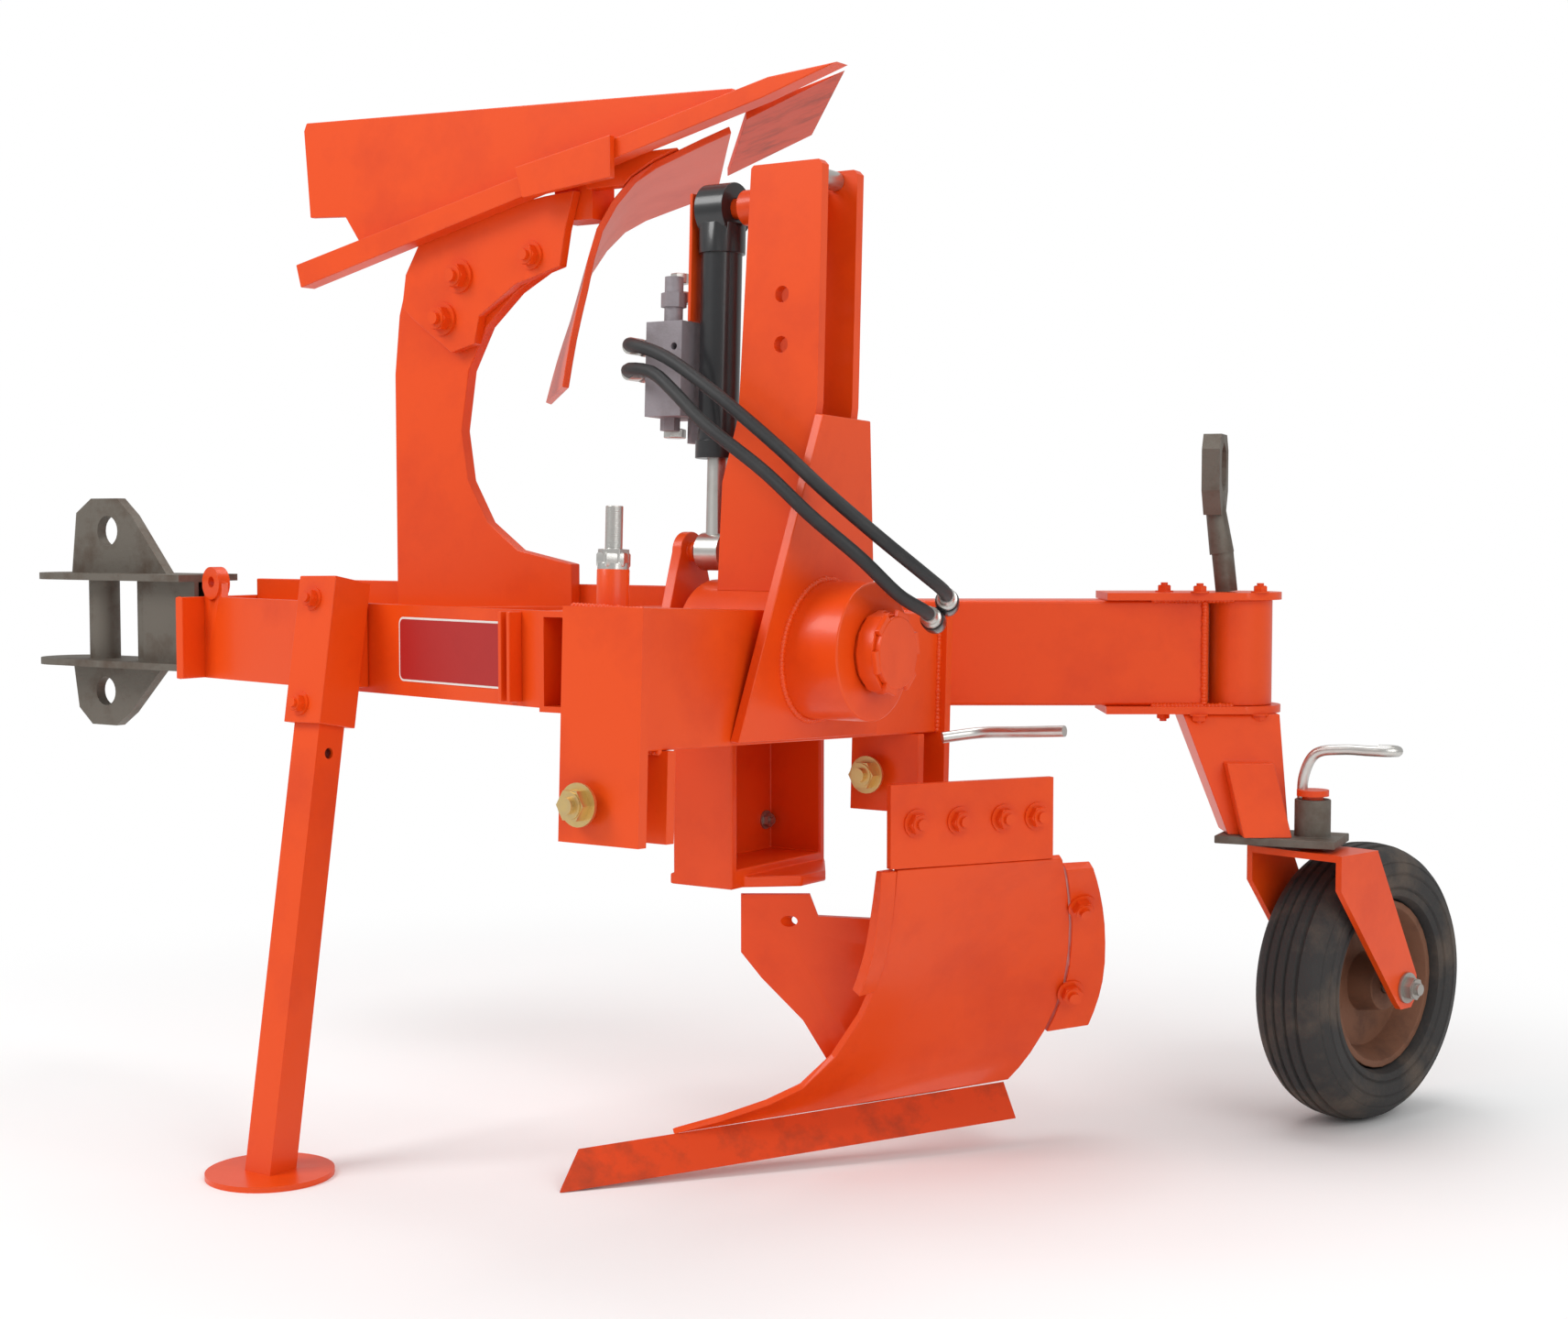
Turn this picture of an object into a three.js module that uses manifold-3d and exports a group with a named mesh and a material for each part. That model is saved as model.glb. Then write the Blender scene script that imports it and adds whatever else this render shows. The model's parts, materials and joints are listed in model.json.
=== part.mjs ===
// Single-furrow reversible moldboard plough, parked on its leg, its lower share and its depth wheel.
// Millimetres, +Z up. +X runs along the turnover hub towards the tractor, +Y is to its left.
// Every size below can be changed by itself; pieces that meet take their places from the same values.
import * as THREE from "three";
import { mergeVertices } from "three/addons/utils/BufferGeometryUtils.js";
import Module from "manifold-3d";

const wasm = await Module();
wasm.setup();

// ---------- driving sizes ----------
const GAP = 0.3; // between pieces that touch
const HUB_Z = 751; // turnover axis above the ground
const LEAN = -2.3; // the parked headstock's lean about the hub, degrees
const PLATE = 16; // headstock plates

const SHAFT_R = 47.5;
const HUB_R = 92;
const HUB_BORE_R = 48.3;
const HUB_BACK = -60;
const HUB_FRONT = 199;
const NUT_R = 55;
const NUT_LENGTH = 24;

const BEAM_BACK = -22; // cross beam
const BEAM_DEPTH = 110;
const BEAM_HALF = 357;
const BEAM_BOTTOM = 628;
const BEAM_HEIGHT = 175;
const BEAM_WALL = 24;
const CLEVIS_GAP = 48;
const CLEVIS_DROP = 115; // how far the link plates hang below the beam
const LINK_PLATE_WIDTH = 124;
const LINK_PIN_R = 14;
const LINK_PIN_DROP = 62; // link pin below the beam

const MAST_TOP = 1392;
const MAST_GAP = 70;
const MAST_FRONT = 133;
const MAST_BACK = 20;
const MAST_HOLE_R = 11;
const MAST_HOLES = [1153, 1219];
const PEDESTAL_TOP = 1060;
const PEDESTAL_SLOPE = 0.108; // forward lean of the front plate, mm per mm of height

const PIN_Z = 1347; // upper cylinder pin
const PIN_R = 14;
const PIN_FIT = 0.6;
const EYE_R = 36;
const EYE_LENGTH = 46;
const CYLINDER_X = -61;
const BARREL_R = 28;
const BARREL_BOTTOM = 1008;
const BORE_R = 14.8;
const ROD_R = 14;
const CRANK_R = 130;

const FRAME_TOP = 803;
const FRAME_BOTTOM = 673;
const FRAME_BAR = 12; // flat bars on edge
const FRAME_REAR = -1050;
const CROSS_BACK = -200; // transverse box behind the headstock
const CROSS_DEPTH = 78;
const NEAR_Y = -205;
const FAR_BAR_Y = 88;
const NEAR_END_Y = -18;

const LEG = 50;
const LEG_WALL = 5;
const LEG_FIT = 0.9;
const LEG_SLEEVE_WALL = 10;
const LEG_TOP = 840;
const FOOT_R = 90;
const FOOT_THICK = 8;

const SIDE_BEAM = 100;
const SIDE_BEAM_HEIGHT = 164;
const SIDE_WALL = 6;
const KNUCKLE_BORE_R = 36;
const TYRE_R = 214;
const TYRE_WIDTH = 124;
const RIM_R = 130;
const AXLE_R = 12;
const FORK_PLATE = 10;
const SIDE_CLEAR = 12; // tyre to fork arm

// ---------- places ----------
const FOOT_AT = new THREE.Vector3(-611, -311, 0);
const LEG_AT_TOP = new THREE.Vector3(-625, -156, 836);
const KNUCKLE = new THREE.Vector2(354, 835);
const SIDE_DIR = new THREE.Vector2(0.829, 0.559).normalize();
const SIDE_START = -640; // along the side beam from the knuckle
const WHEEL_AT = new THREE.Vector3(548, 864, TYRE_R);
const AXLE_YAW = -13.3; // wheel axle against +X, degrees
const SWIVEL_CLEAR = 6; // fork crown to the plate above it
const SWIVEL_TRAIL = 130; // the swivel axis runs ahead of the axle by this much
const SHARE_TIP = new THREE.Vector3(-215, -153, 0);
const SHARE_WING = new THREE.Vector3(198, 401, 45);

// ---------- helpers ----------
const V = (x, y, z) => new THREE.Vector3(x, y, z);

function solid(geometry) {
  const g = geometry.index ? geometry.toNonIndexed() : geometry.clone();
  const bare = new THREE.BufferGeometry().setAttribute(
    "position",
    g.getAttribute("position"),
  );
  const m = mergeVertices(bare, 1e-3);
  return new wasm.Manifold(
    new wasm.Mesh({
      numProp: 3,
      vertProperties: new Float32Array(m.attributes.position.array),
      triVerts: new Uint32Array(m.index.array),
    }),
  );
}

function fromSolid(s) {
  const m = s.getMesh();
  const v = new Float32Array(m.numVert * 3);
  for (let i = 0; i < m.numVert; i++)
    v.set(m.vertProperties.subarray(i * m.numProp, i * m.numProp + 3), i * 3);
  const g = new THREE.BufferGeometry();
  g.setAttribute("position", new THREE.BufferAttribute(v, 3));
  g.setIndex(new THREE.BufferAttribute(new Uint32Array(m.triVerts), 1));
  g.computeVertexNormals();
  return g;
}

const join = (first, ...rest) =>
  fromSolid(rest.reduce((s, g) => s.add(solid(g)), solid(first)));
const cut = (first, ...rest) =>
  fromSolid(rest.reduce((s, g) => s.subtract(solid(g)), solid(first)));

// a cut that leaves offcuts keeps only its main body
const trim = (first, ...rest) => {
  const left = rest.reduce((s, g) => s.subtract(solid(g)), solid(first));
  const bodies = left.decompose().sort((a, b) => b.volume() - a.volume());
  return fromSolid(bodies[0]);
};

const box = (x0, x1, y0, y1, z0, z1) =>
  new THREE.BoxGeometry(x1 - x0, y1 - y0, z1 - z0).translate(
    (x0 + x1) / 2,
    (y0 + y1) / 2,
    (z0 + z1) / 2,
  );

const outline = (points) =>
  new THREE.Shape(points.map(([a, b]) => new THREE.Vector2(a, b)));

const extrude = (shape, depth, steps = 1) =>
  new THREE.ExtrudeGeometry(shape, {
    depth,
    bevelEnabled: false,
    steps,
    curveSegments: 10,
  });

const basis = (x, y, z) => new THREE.Matrix4().makeBasis(x, y, z);

// outline points are (X, Z); the plate fills y0..y1
const plateXZ = (points, y0, y1) =>
  extrude(outline(points), y1 - y0)
    .applyMatrix4(basis(V(1, 0, 0), V(0, 0, 1), V(0, -1, 0)))
    .translate(0, y1, 0);

// outline points are (Y, Z); the plate fills x0..x1
const plateYZ = (points, x0, x1) =>
  extrude(outline(points), x1 - x0)
    .applyMatrix4(basis(V(0, 1, 0), V(0, 0, 1), V(1, 0, 0)))
    .translate(x0, 0, 0);

// outline points are (X, Y); the plate fills z0..z1
const plateXY = (points, z0, z1) =>
  extrude(outline(points), z1 - z0).translate(0, 0, z0);

function rod(from, to, radius, sides = 24, endRadius = radius) {
  const axis = to.clone().sub(from);
  const g = new THREE.CylinderGeometry(
    endRadius,
    radius,
    axis.length(),
    sides,
  );
  const turn = new THREE.Quaternion().setFromUnitVectors(
    V(0, 1, 0),
    axis.clone().normalize(),
  );
  const middle = from.clone().add(to).multiplyScalar(0.5);
  return g.applyQuaternion(turn).translate(middle.x, middle.y, middle.z);
}
const rodX = (x0, x1, y, z, r, sides = 32) =>
  rod(V(x0, y, z), V(x1, y, z), r, sides);
const rodY = (y0, y1, x, z, r, sides = 24) =>
  rod(V(x, y0, z), V(x, y1, z), r, sides);
const rodZ = (z0, z1, x, y, r, sides = 24) =>
  rod(V(x, y, z0), V(x, y, z1), r, sides);

// a box standing on the line from a to b (X, Y), `wide` across it
function along(a, b, wide, z0, z1, endBefore = 0, endAfter = 0) {
  const d = b.clone().sub(a);
  const length = d.length() + endBefore + endAfter;
  return box(-endBefore, length - endBefore, -wide / 2, wide / 2, z0, z1)
    .applyMatrix4(new THREE.Matrix4().makeRotationZ(d.angle()))
    .translate(a.x, a.y, 0);
}

// a closed sheet: at(s, t) gives its middle, and it is `thick` along the local normal
function sheet(at, ns, nt, back, front, s0 = 0, s1 = 1, t0 = 0, t1 = 1) {
  const e = 1e-3;
  const normal = (s, t) => {
    const a = at(s + e, t).sub(at(s - e, t));
    const b = at(s, t + e).sub(at(s, t - e));
    return a.cross(b).normalize();
  };
  const positions = [];
  const index = [];
  const id = (side, i, j) => side * (ns + 1) * (nt + 1) + j * (ns + 1) + i;
  for (const offset of [back, front])
    for (let j = 0; j <= nt; j++)
      for (let i = 0; i <= ns; i++) {
        const s = s0 + ((s1 - s0) * i) / ns;
        const t = t0 + ((t1 - t0) * j) / nt;
        const p = at(s, t).addScaledVector(normal(s, t), offset);
        positions.push(p.x, p.y, p.z);
      }
  const quad = (a, b, c, d) => index.push(a, b, c, a, c, d);
  for (let j = 0; j < nt; j++)
    for (let i = 0; i < ns; i++) {
      quad(id(1, i, j), id(1, i + 1, j), id(1, i + 1, j + 1), id(1, i, j + 1));
      quad(id(0, i, j), id(0, i, j + 1), id(0, i + 1, j + 1), id(0, i + 1, j));
    }
  for (let i = 0; i < ns; i++) {
    quad(id(0, i, 0), id(0, i + 1, 0), id(1, i + 1, 0), id(1, i, 0));
    quad(id(1, i, nt), id(1, i + 1, nt), id(0, i + 1, nt), id(0, i, nt));
  }
  for (let j = 0; j < nt; j++) {
    quad(id(1, 0, j), id(1, 0, j + 1), id(0, 0, j + 1), id(0, 0, j));
    quad(id(0, ns, j), id(0, ns, j + 1), id(1, ns, j + 1), id(1, ns, j));
  }
  const g = new THREE.BufferGeometry();
  g.setAttribute("position", new THREE.Float32BufferAttribute(positions, 3));
  g.setIndex(index);
  return g;
}

// an eight-cornered block from two rings of four points
function block(low, high) {
  const g = new THREE.BufferGeometry();
  const p = [...low, ...high].flatMap((v) => [v.x, v.y, v.z]);
  g.setAttribute("position", new THREE.Float32BufferAttribute(p, 3));
  g.setIndex([
    0, 2, 1, 0, 3, 2, 4, 5, 6, 4, 6, 7, 0, 1, 5, 0, 5, 4, 1, 2, 6, 1, 6, 5, 2,
    3, 7, 2, 7, 6, 3, 0, 4, 3, 4, 7,
  ]);
  return g;
}

const hose = (points, radius, steps) => {
  const ring = new THREE.Shape();
  for (let i = 0; i < 8; i++) {
    const a = (i * Math.PI) / 4;
    const [x, y] = [radius * Math.cos(a), radius * Math.sin(a)];
    if (i) ring.lineTo(x, y);
    else ring.moveTo(x, y);
  }
  return new THREE.ExtrudeGeometry(ring, {
    extrudePath: new THREE.CatmullRomCurve3(points),
    steps,
    bevelEnabled: false,
  });
};

// ---------- materials ----------
const material = (color, roughness, metalness) =>
  new THREE.MeshStandardMaterial({ color, roughness, metalness });
const red = material(0xe8380d, 0.35, 0.1);
const darkRed = material(0x9c1d10, 0.45, 0.1);
const rawSteel = material(0x6f6558, 0.7, 0.7);
const brightSteel = material(0xb7b5ad, 0.35, 0.9);
const zinc = material(0xc9a545, 0.35, 0.9);
const black = material(0x17191b, 0.35, 0.3);
const rubber = material(0x1c1a19, 0.85, 0);
const rust = material(0x6a4530, 0.8, 0.5);

const plough = new THREE.Group();
const frame = new THREE.Group();
const headstock = new THREE.Group();
const add = (group, name, geometry, mat) => {
  const mesh = new THREE.Mesh(geometry, mat);
  mesh.name = name;
  group.add(mesh);
  return mesh;
};

// ---------- headstock, built upright and then leaned ----------
const beamTop = BEAM_BOTTOM + BEAM_HEIGHT;
const beamFront = BEAM_BACK + BEAM_DEPTH;
const clevisBottom = BEAM_BOTTOM - CLEVIS_DROP;
const plateFront = BEAM_BACK + LINK_PLATE_WIDTH;
const outerFace = BEAM_HALF + PLATE;
const innerOuterFace = BEAM_HALF - CLEVIS_GAP;
const linkPinZ = BEAM_BOTTOM - LINK_PIN_DROP;
const linkPinX = 21;

const beam = cut(
  box(BEAM_BACK, beamFront, -BEAM_HALF + GAP, BEAM_HALF - GAP, BEAM_BOTTOM, beamTop),
  box(
    BEAM_BACK + BEAM_WALL,
    beamFront - BEAM_WALL,
    -BEAM_HALF - 1,
    BEAM_HALF + 1,
    BEAM_BOTTOM + BEAM_WALL,
    beamTop - BEAM_WALL,
  ),
  rodX(BEAM_BACK - 5, beamFront + 5, 0, HUB_Z, HUB_R + GAP, 48),
);
add(headstock, "cross_beam", beam, red);

for (const [side, name] of [
  [-1, "near"],
  [1, "far"],
]) {
  const y = (a, b) => (side < 0 ? [-b, -a] : [a, b]);
  const [o0, o1] = y(BEAM_HALF, outerFace);
  add(
    headstock,
    `end_plate_${name}`,
    cut(
      box(BEAM_BACK, plateFront, o0, o1, clevisBottom, beamTop),
      rodY(o0 - 1, o1 + 1, linkPinX, linkPinZ, LINK_PIN_R + GAP),
    ),
    red,
  );
  const [i0, i1] = y(innerOuterFace - PLATE, innerOuterFace);
  add(
    headstock,
    `clevis_plate_${name}`,
    cut(
      box(BEAM_BACK + 4, plateFront - 6, i0, i1, clevisBottom, BEAM_BOTTOM - GAP),
      rodY(i0 - 1, i1 + 1, linkPinX, linkPinZ, LINK_PIN_R + GAP),
    ),
    red,
  );
  const [p0, p1] = y(innerOuterFace - PLATE - 16, outerFace + 14);
  add(
    headstock,
    `link_pin_${name}`,
    rodY(p0, p1, linkPinX, linkPinZ, LINK_PIN_R),
    zinc,
  );
}

add(
  headstock,
  "hub_tube",
  cut(
    rodX(HUB_BACK, HUB_FRONT, 0, HUB_Z, HUB_R, 48),
    rodX(HUB_BACK - 1, HUB_FRONT + 1, 0, HUB_Z, HUB_BORE_R, 40),
  ),
  red,
);

// the tapered front plate leans forward from the beam to the mast
const slopeAngle = Math.atan(PEDESTAL_SLOPE);
const plateLength = (PEDESTAL_TOP - BEAM_BOTTOM - 6) / Math.cos(slopeAngle);
const frontPlate = plateYZ(
  [
    [-168, 0],
    [168, 0],
    [108, plateLength * 0.55],
    [58, plateLength],
    [-58, plateLength],
    [-150, plateLength * 0.16],
  ],
  0,
  PLATE - 2,
)
  .rotateY(slopeAngle)
  .translate(beamFront + GAP + 0.2, 0, BEAM_BOTTOM + 6);
add(
  headstock,
  "pedestal_plate",
  cut(frontPlate, rodX(0, 300, 0, HUB_Z, HUB_R + GAP, 48)),
  red,
);
const slopeX = (z) =>
  beamFront + (z - BEAM_BOTTOM - 6) * PEDESTAL_SLOPE - 0.4;

const mastOuter = MAST_GAP / 2 + PLATE;
for (const [side, name] of [
  [-1, "near"],
  [1, "far"],
]) {
  const [y0, y1] =
    side < 0 ? [-mastOuter, -MAST_GAP / 2] : [MAST_GAP / 2, mastOuter];
  add(
    headstock,
    `mast_${name}`,
    cut(
      plateXZ(
        [
          [BEAM_BACK + 1, beamTop + GAP],
          [slopeX(beamTop), beamTop + GAP],
          [Math.min(slopeX(PEDESTAL_TOP), MAST_FRONT - 2), PEDESTAL_TOP - 2],
          [MAST_FRONT, PEDESTAL_TOP + 16],
          [MAST_FRONT, MAST_TOP - 6],
          [MAST_FRONT - 6, MAST_TOP],
          [MAST_BACK + 4, MAST_TOP],
          [MAST_BACK, MAST_TOP - 4],
          [MAST_BACK - 12, PEDESTAL_TOP],
          [BEAM_BACK + 6, beamTop + 170],
        ],
        y0,
        y1,
      ),
      rodX(-100, 300, 0, HUB_Z, HUB_R + GAP, 48),
      ...MAST_HOLES.map((z) => rodY(y0 - 1, y1 + 1, 74, z, MAST_HOLE_R)),
    ),
    red,
  );
}

// block between the mast plates with the cylinder's pin, boss and hose bracket
const bracketX = CYLINDER_X - EYE_LENGTH / 2 - 11;
add(
  headstock,
  "cylinder_pin",
  join(
    box(
      MAST_BACK + 6,
      MAST_BACK + 60,
      -MAST_GAP / 2 + GAP,
      MAST_GAP / 2 - GAP,
      PIN_Z - 26,
      PIN_Z + 26,
    ),
    rodX(CYLINDER_X + BARREL_R + 10, MAST_BACK + 10, 0, PIN_Z, 24),
    rodX(bracketX - 6, MAST_BACK, 0, PIN_Z, PIN_R),
  ),
  red,
);
add(
  headstock,
  "mast_top_pin",
  rodY(-MAST_GAP / 2 + GAP, MAST_GAP / 2 - GAP, 100, MAST_TOP - 14, 13),
  brightSteel,
);
const valve = { x0: -158, x1: -97, y0: -40, y1: 45, z0: 1065, z1: 1195 };
add(
  headstock,
  "valve_bracket",
  cut(
    plateYZ(
      [
        [-24, valve.z1 + GAP],
        [24, valve.z1 + GAP],
        [24, PIN_Z + 22],
        [-24, PIN_Z + 22],
      ],
      bracketX - 5,
      bracketX,
    ),
    rodX(bracketX - 20, bracketX + 20, 0, PIN_Z, PIN_R + GAP),
  ),
  red,
);
add(
  headstock,
  "valve_block",
  cut(
    join(
      box(valve.x0, valve.x1, valve.y0, valve.y1, valve.z0, valve.z1),
      rodZ(valve.z1 - 5, valve.z1 + 62, -125, -22, 13),
      rodZ(valve.z1 + 20, valve.z1 + 40, -125, -22, 18, 6),
      rodX(-182, valve.x0 + 5, -22, 1162, 11),
      rodX(-182, valve.x0 + 5, -22, 1126, 11),
      rodZ(valve.z0 - 18, valve.z0 + 5, -136, -10, 14, 6),
      rodZ(valve.z0 - 34, valve.z0 + 5, -112, 20, 13, 6),
    ),
    rodY(valve.y0 - 1, valve.y0 + 30, -110, 1160, 5),
  ),
  brightSteel,
);
// two pressure hoses from the elbows, over the pedestal, to the coupler rest on the beam's far half
const HOSE_R = 9;
const elbowX = -176;
const hosePaths = {
  upper: [
    V(elbowX, -33.6, 1162),
    V(elbowX, -52, 1162),
    V(elbowX + 22, -78, 1160),
    V(-84, -98, 1140),
    V(8, -110, 1088),
    V(108, -102, 1014),
    V(178, -94, 956),
    V(240, -60, 898),
    V(262, 10, 856),
    V(254, 84, 832),
    V(232, 128, 823),
  ],
  lower: [
    V(elbowX, -33.6, 1126),
    V(elbowX, -54, 1126),
    V(elbowX + 26, -84, 1126),
    V(-96, -104, 1117),
    V(-50, -116, 1088),
    V(4, -124, 1046),
    V(100, -118, 980),
    V(168, -112, 924),
    V(226, -84, 872),
    V(240, -10, 826),
    V(236, 64, 806),
    V(218, 110, 798),
  ],
};
add(headstock, "hose_upper", hose(hosePaths.upper, HOSE_R, 30), rubber);
add(headstock, "hose_lower", hose(hosePaths.lower, HOSE_R, 30), rubber);

// stop screw near the beam's near end
add(
  headstock,
  "stop_screw",
  join(
    rodZ(beamTop + GAP, beamTop + 55, -2, -300, 20),
    rodZ(beamTop + 50, beamTop + 72, -2, -300, 20, 6),
    rodZ(beamTop + 70, beamTop + 126, -2, -300, 11),
  ),
  brightSteel,
);

// ---------- turnover cylinder ----------
add(
  headstock,
  "cylinder_barrel",
  cut(
    join(
      rodX(
        CYLINDER_X - EYE_LENGTH / 2,
        CYLINDER_X + EYE_LENGTH / 2,
        0,
        PIN_Z,
        EYE_R,
        32,
      ),
      rodZ(PIN_Z - 60, PIN_Z - 20, CYLINDER_X, 0, BARREL_R + 4, 28),
      rodZ(BARREL_BOTTOM, PIN_Z - 40, CYLINDER_X, 0, BARREL_R, 28),
      rodZ(BARREL_BOTTOM, BARREL_BOTTOM + 24, CYLINDER_X, 0, BARREL_R + 3, 28),
    ),
    rodX(CYLINDER_X - 60, CYLINDER_X + 60, 0, PIN_Z, PIN_R + PIN_FIT),
    rodZ(BARREL_BOTTOM - 1, BARREL_BOTTOM + 180, CYLINDER_X, 0, BORE_R),
  ),
  black,
);
const rodEyeZ = HUB_Z + CRANK_R;
add(
  headstock,
  "cylinder_rod",
  cut(
    join(
      rodX(CYLINDER_X - 19, CYLINDER_X + 19, 0, rodEyeZ, 26),
      rodZ(rodEyeZ + 10, BARREL_BOTTOM + 55, CYLINDER_X, 0, ROD_R),
    ),
    rodX(CYLINDER_X - 30, CYLINDER_X + 30, 0, rodEyeZ, 12),
  ),
  brightSteel,
);

headstock.position.set(0, 0, HUB_Z);
headstock.rotation.x = THREE.MathUtils.degToRad(LEAN);
for (const mesh of headstock.children) mesh.position.z = -HUB_Z;
plough.add(headstock);

// ---------- main frame ----------
const crossFront = CROSS_BACK + CROSS_DEPTH;
const crankBack = crossFront + 10;
const shaftBack = CROSS_BACK - 30;
const nutBack = HUB_FRONT + 5;
add(
  frame,
  "turnover_shaft",
  rodX(shaftBack, nutBack + NUT_LENGTH + 8, 0, HUB_Z, SHAFT_R, 40),
  red,
);
add(
  frame,
  "shaft_nut",
  cut(
    rodX(nutBack, nutBack + NUT_LENGTH, 0, HUB_Z, NUT_R, 12),
    rodX(nutBack - 1, nutBack + NUT_LENGTH + 1, 0, HUB_Z, SHAFT_R + GAP, 40),
    box(nutBack + 12, nutBack + 40, -9, 9, HUB_Z - 80, HUB_Z - 50),
    box(nutBack + 12, nutBack + 40, -9, 9, HUB_Z + 50, HUB_Z + 80),
  ),
  red,
);
add(
  frame,
  "crank_arm",
  cut(
    join(
      rodX(crankBack, crankBack + 16, 0, HUB_Z, SHAFT_R + 26, 32),
      plateYZ(
        [
          [-60, HUB_Z + 30],
          [60, HUB_Z + 30],
          [27, HUB_Z + CRANK_R],
          [-27, HUB_Z + CRANK_R],
        ],
        crankBack,
        crankBack + 16,
      ),
      rodX(crankBack, crankBack + 16, 0, HUB_Z + CRANK_R, 27),
      rodX(crankBack, crankBack + 25, 0, HUB_Z + CRANK_R, 14),
    ),
    rodX(crankBack - 1, crankBack + 30, 0, HUB_Z, SHAFT_R + GAP, 40),
  ),
  red,
);

// side beam, from the transverse box to the wheel knuckle
const sideEnd = KNUCKLE.clone().addScaledVector(SIDE_DIR, -(SIDE_BEAM / 2 + 4));
const sideStart = KNUCKLE.clone().addScaledVector(SIDE_DIR, SIDE_START);
const sideTop = beamTop - 2;
const sideBottom = sideTop - SIDE_BEAM_HEIGHT;
add(
  frame,
  "side_beam",
  cut(
    along(sideStart, sideEnd, SIDE_BEAM, sideBottom, sideTop),
    along(
      sideStart,
      sideEnd,
      SIDE_BEAM - 2 * SIDE_WALL,
      sideBottom + SIDE_WALL,
      sideTop - SIDE_WALL,
      5,
      5,
    ),
  ),
  red,
);
const crossTop = FRAME_TOP;
const crossBottom = FRAME_BOTTOM - 5;
const wall = 8;
add(
  frame,
  "front_cross_member",
  trim(
    box(CROSS_BACK, crossFront, NEAR_Y, 540, crossBottom, crossTop),
    box(
      CROSS_BACK + wall,
      crossFront - wall,
      NEAR_Y - 1,
      541,
      crossBottom + wall,
      crossTop - wall,
    ),
    along(
      sideStart,
      sideEnd,
      SIDE_BEAM + 2 * GAP + 0.4,
      sideBottom - 90,
      sideTop + 90,
      80,
    ).translate(0, 0, 0),
    box(CROSS_BACK - 5, crossFront + 5, 500, 700, crossBottom - 5, crossTop + 5),
    rodX(CROSS_BACK - 5, crossFront + 5, 0, HUB_Z, SHAFT_R + GAP, 40),
  ),
  red,
);

// near bar runs inwards to the rear; far bar is parallel to the hub
const nearA = new THREE.Vector2(CROSS_BACK - 5, NEAR_Y + FRAME_BAR);
const nearB = new THREE.Vector2(FRAME_REAR + 1, NEAR_END_Y);
const nearY = (x) =>
  nearA.y + ((x - nearA.x) * (nearB.y - nearA.y)) / (nearB.x - nearA.x);
const tabR = 26;
add(
  frame,
  "near_frame_bar",
  cut(
    join(
      along(nearA, nearB, FRAME_BAR, FRAME_BOTTOM, FRAME_TOP, 12),
      along(
        new THREE.Vector2(nearB.x + 52, nearY(nearB.x + 52)),
        nearB,
        FRAME_BAR,
        FRAME_TOP - 5,
        FRAME_TOP + 22,
      ),
      rodY(-10, 10, 0, 0, tabR).applyMatrix4(
        new THREE.Matrix4()
          .makeTranslation(nearB.x + 26, nearY(nearB.x + 26), FRAME_TOP + 22)
          .multiply(
            new THREE.Matrix4().makeRotationZ(
              nearB.clone().sub(nearA).angle(),
            ),
          ),
      ),
    ),
    rodY(-60, 30, nearB.x + 26, FRAME_TOP + 24, 9),
    box(CROSS_BACK - 0.6, CROSS_BACK + 60, -400, 0, 600, 900),
    box(FRAME_REAR - 60, FRAME_REAR + GAP, -400, 200, 600, 900),
  ),
  red,
);
add(
  frame,
  "far_frame_bar",
  box(
    FRAME_REAR + GAP,
    CROSS_BACK - GAP,
    FAR_BAR_Y,
    FAR_BAR_Y + FRAME_BAR,
    FRAME_BOTTOM,
    FRAME_TOP + 27,
  ),
  red,
);
add(
  frame,
  "rear_frame_plate",
  box(
    FRAME_REAR - 16,
    FRAME_REAR,
    -70,
    FAR_BAR_Y + FRAME_BAR,
    FRAME_BOTTOM,
    FRAME_TOP,
  ),
  red,
);
const half = FRAME_BAR / 2 + 0.6;
for (const [name, xn, xf] of [
  ["frame_cross_bar", -800, -800],
  ["frame_diagonal_bar", -560, -330],
]) {
  const a = new THREE.Vector2(xn, nearY(xn));
  const b = new THREE.Vector2(xf, FAR_BAR_Y);
  add(
    frame,
    name,
    cut(
      along(a, b, FRAME_BAR, FRAME_BOTTOM + 6, FRAME_TOP - 4, 20, 20),
      along(nearA, nearB, 2 * half, 600, 900, 90, 60),
      box(-1200, 0, FAR_BAR_Y - 25 - 0.8, FAR_BAR_Y + 200, 600, 900),
      along(nearA, nearB, 120, 600, 900, 90, 60).translate(0, -60 - half, 0),
    ),
    red,
  );
}

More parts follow.
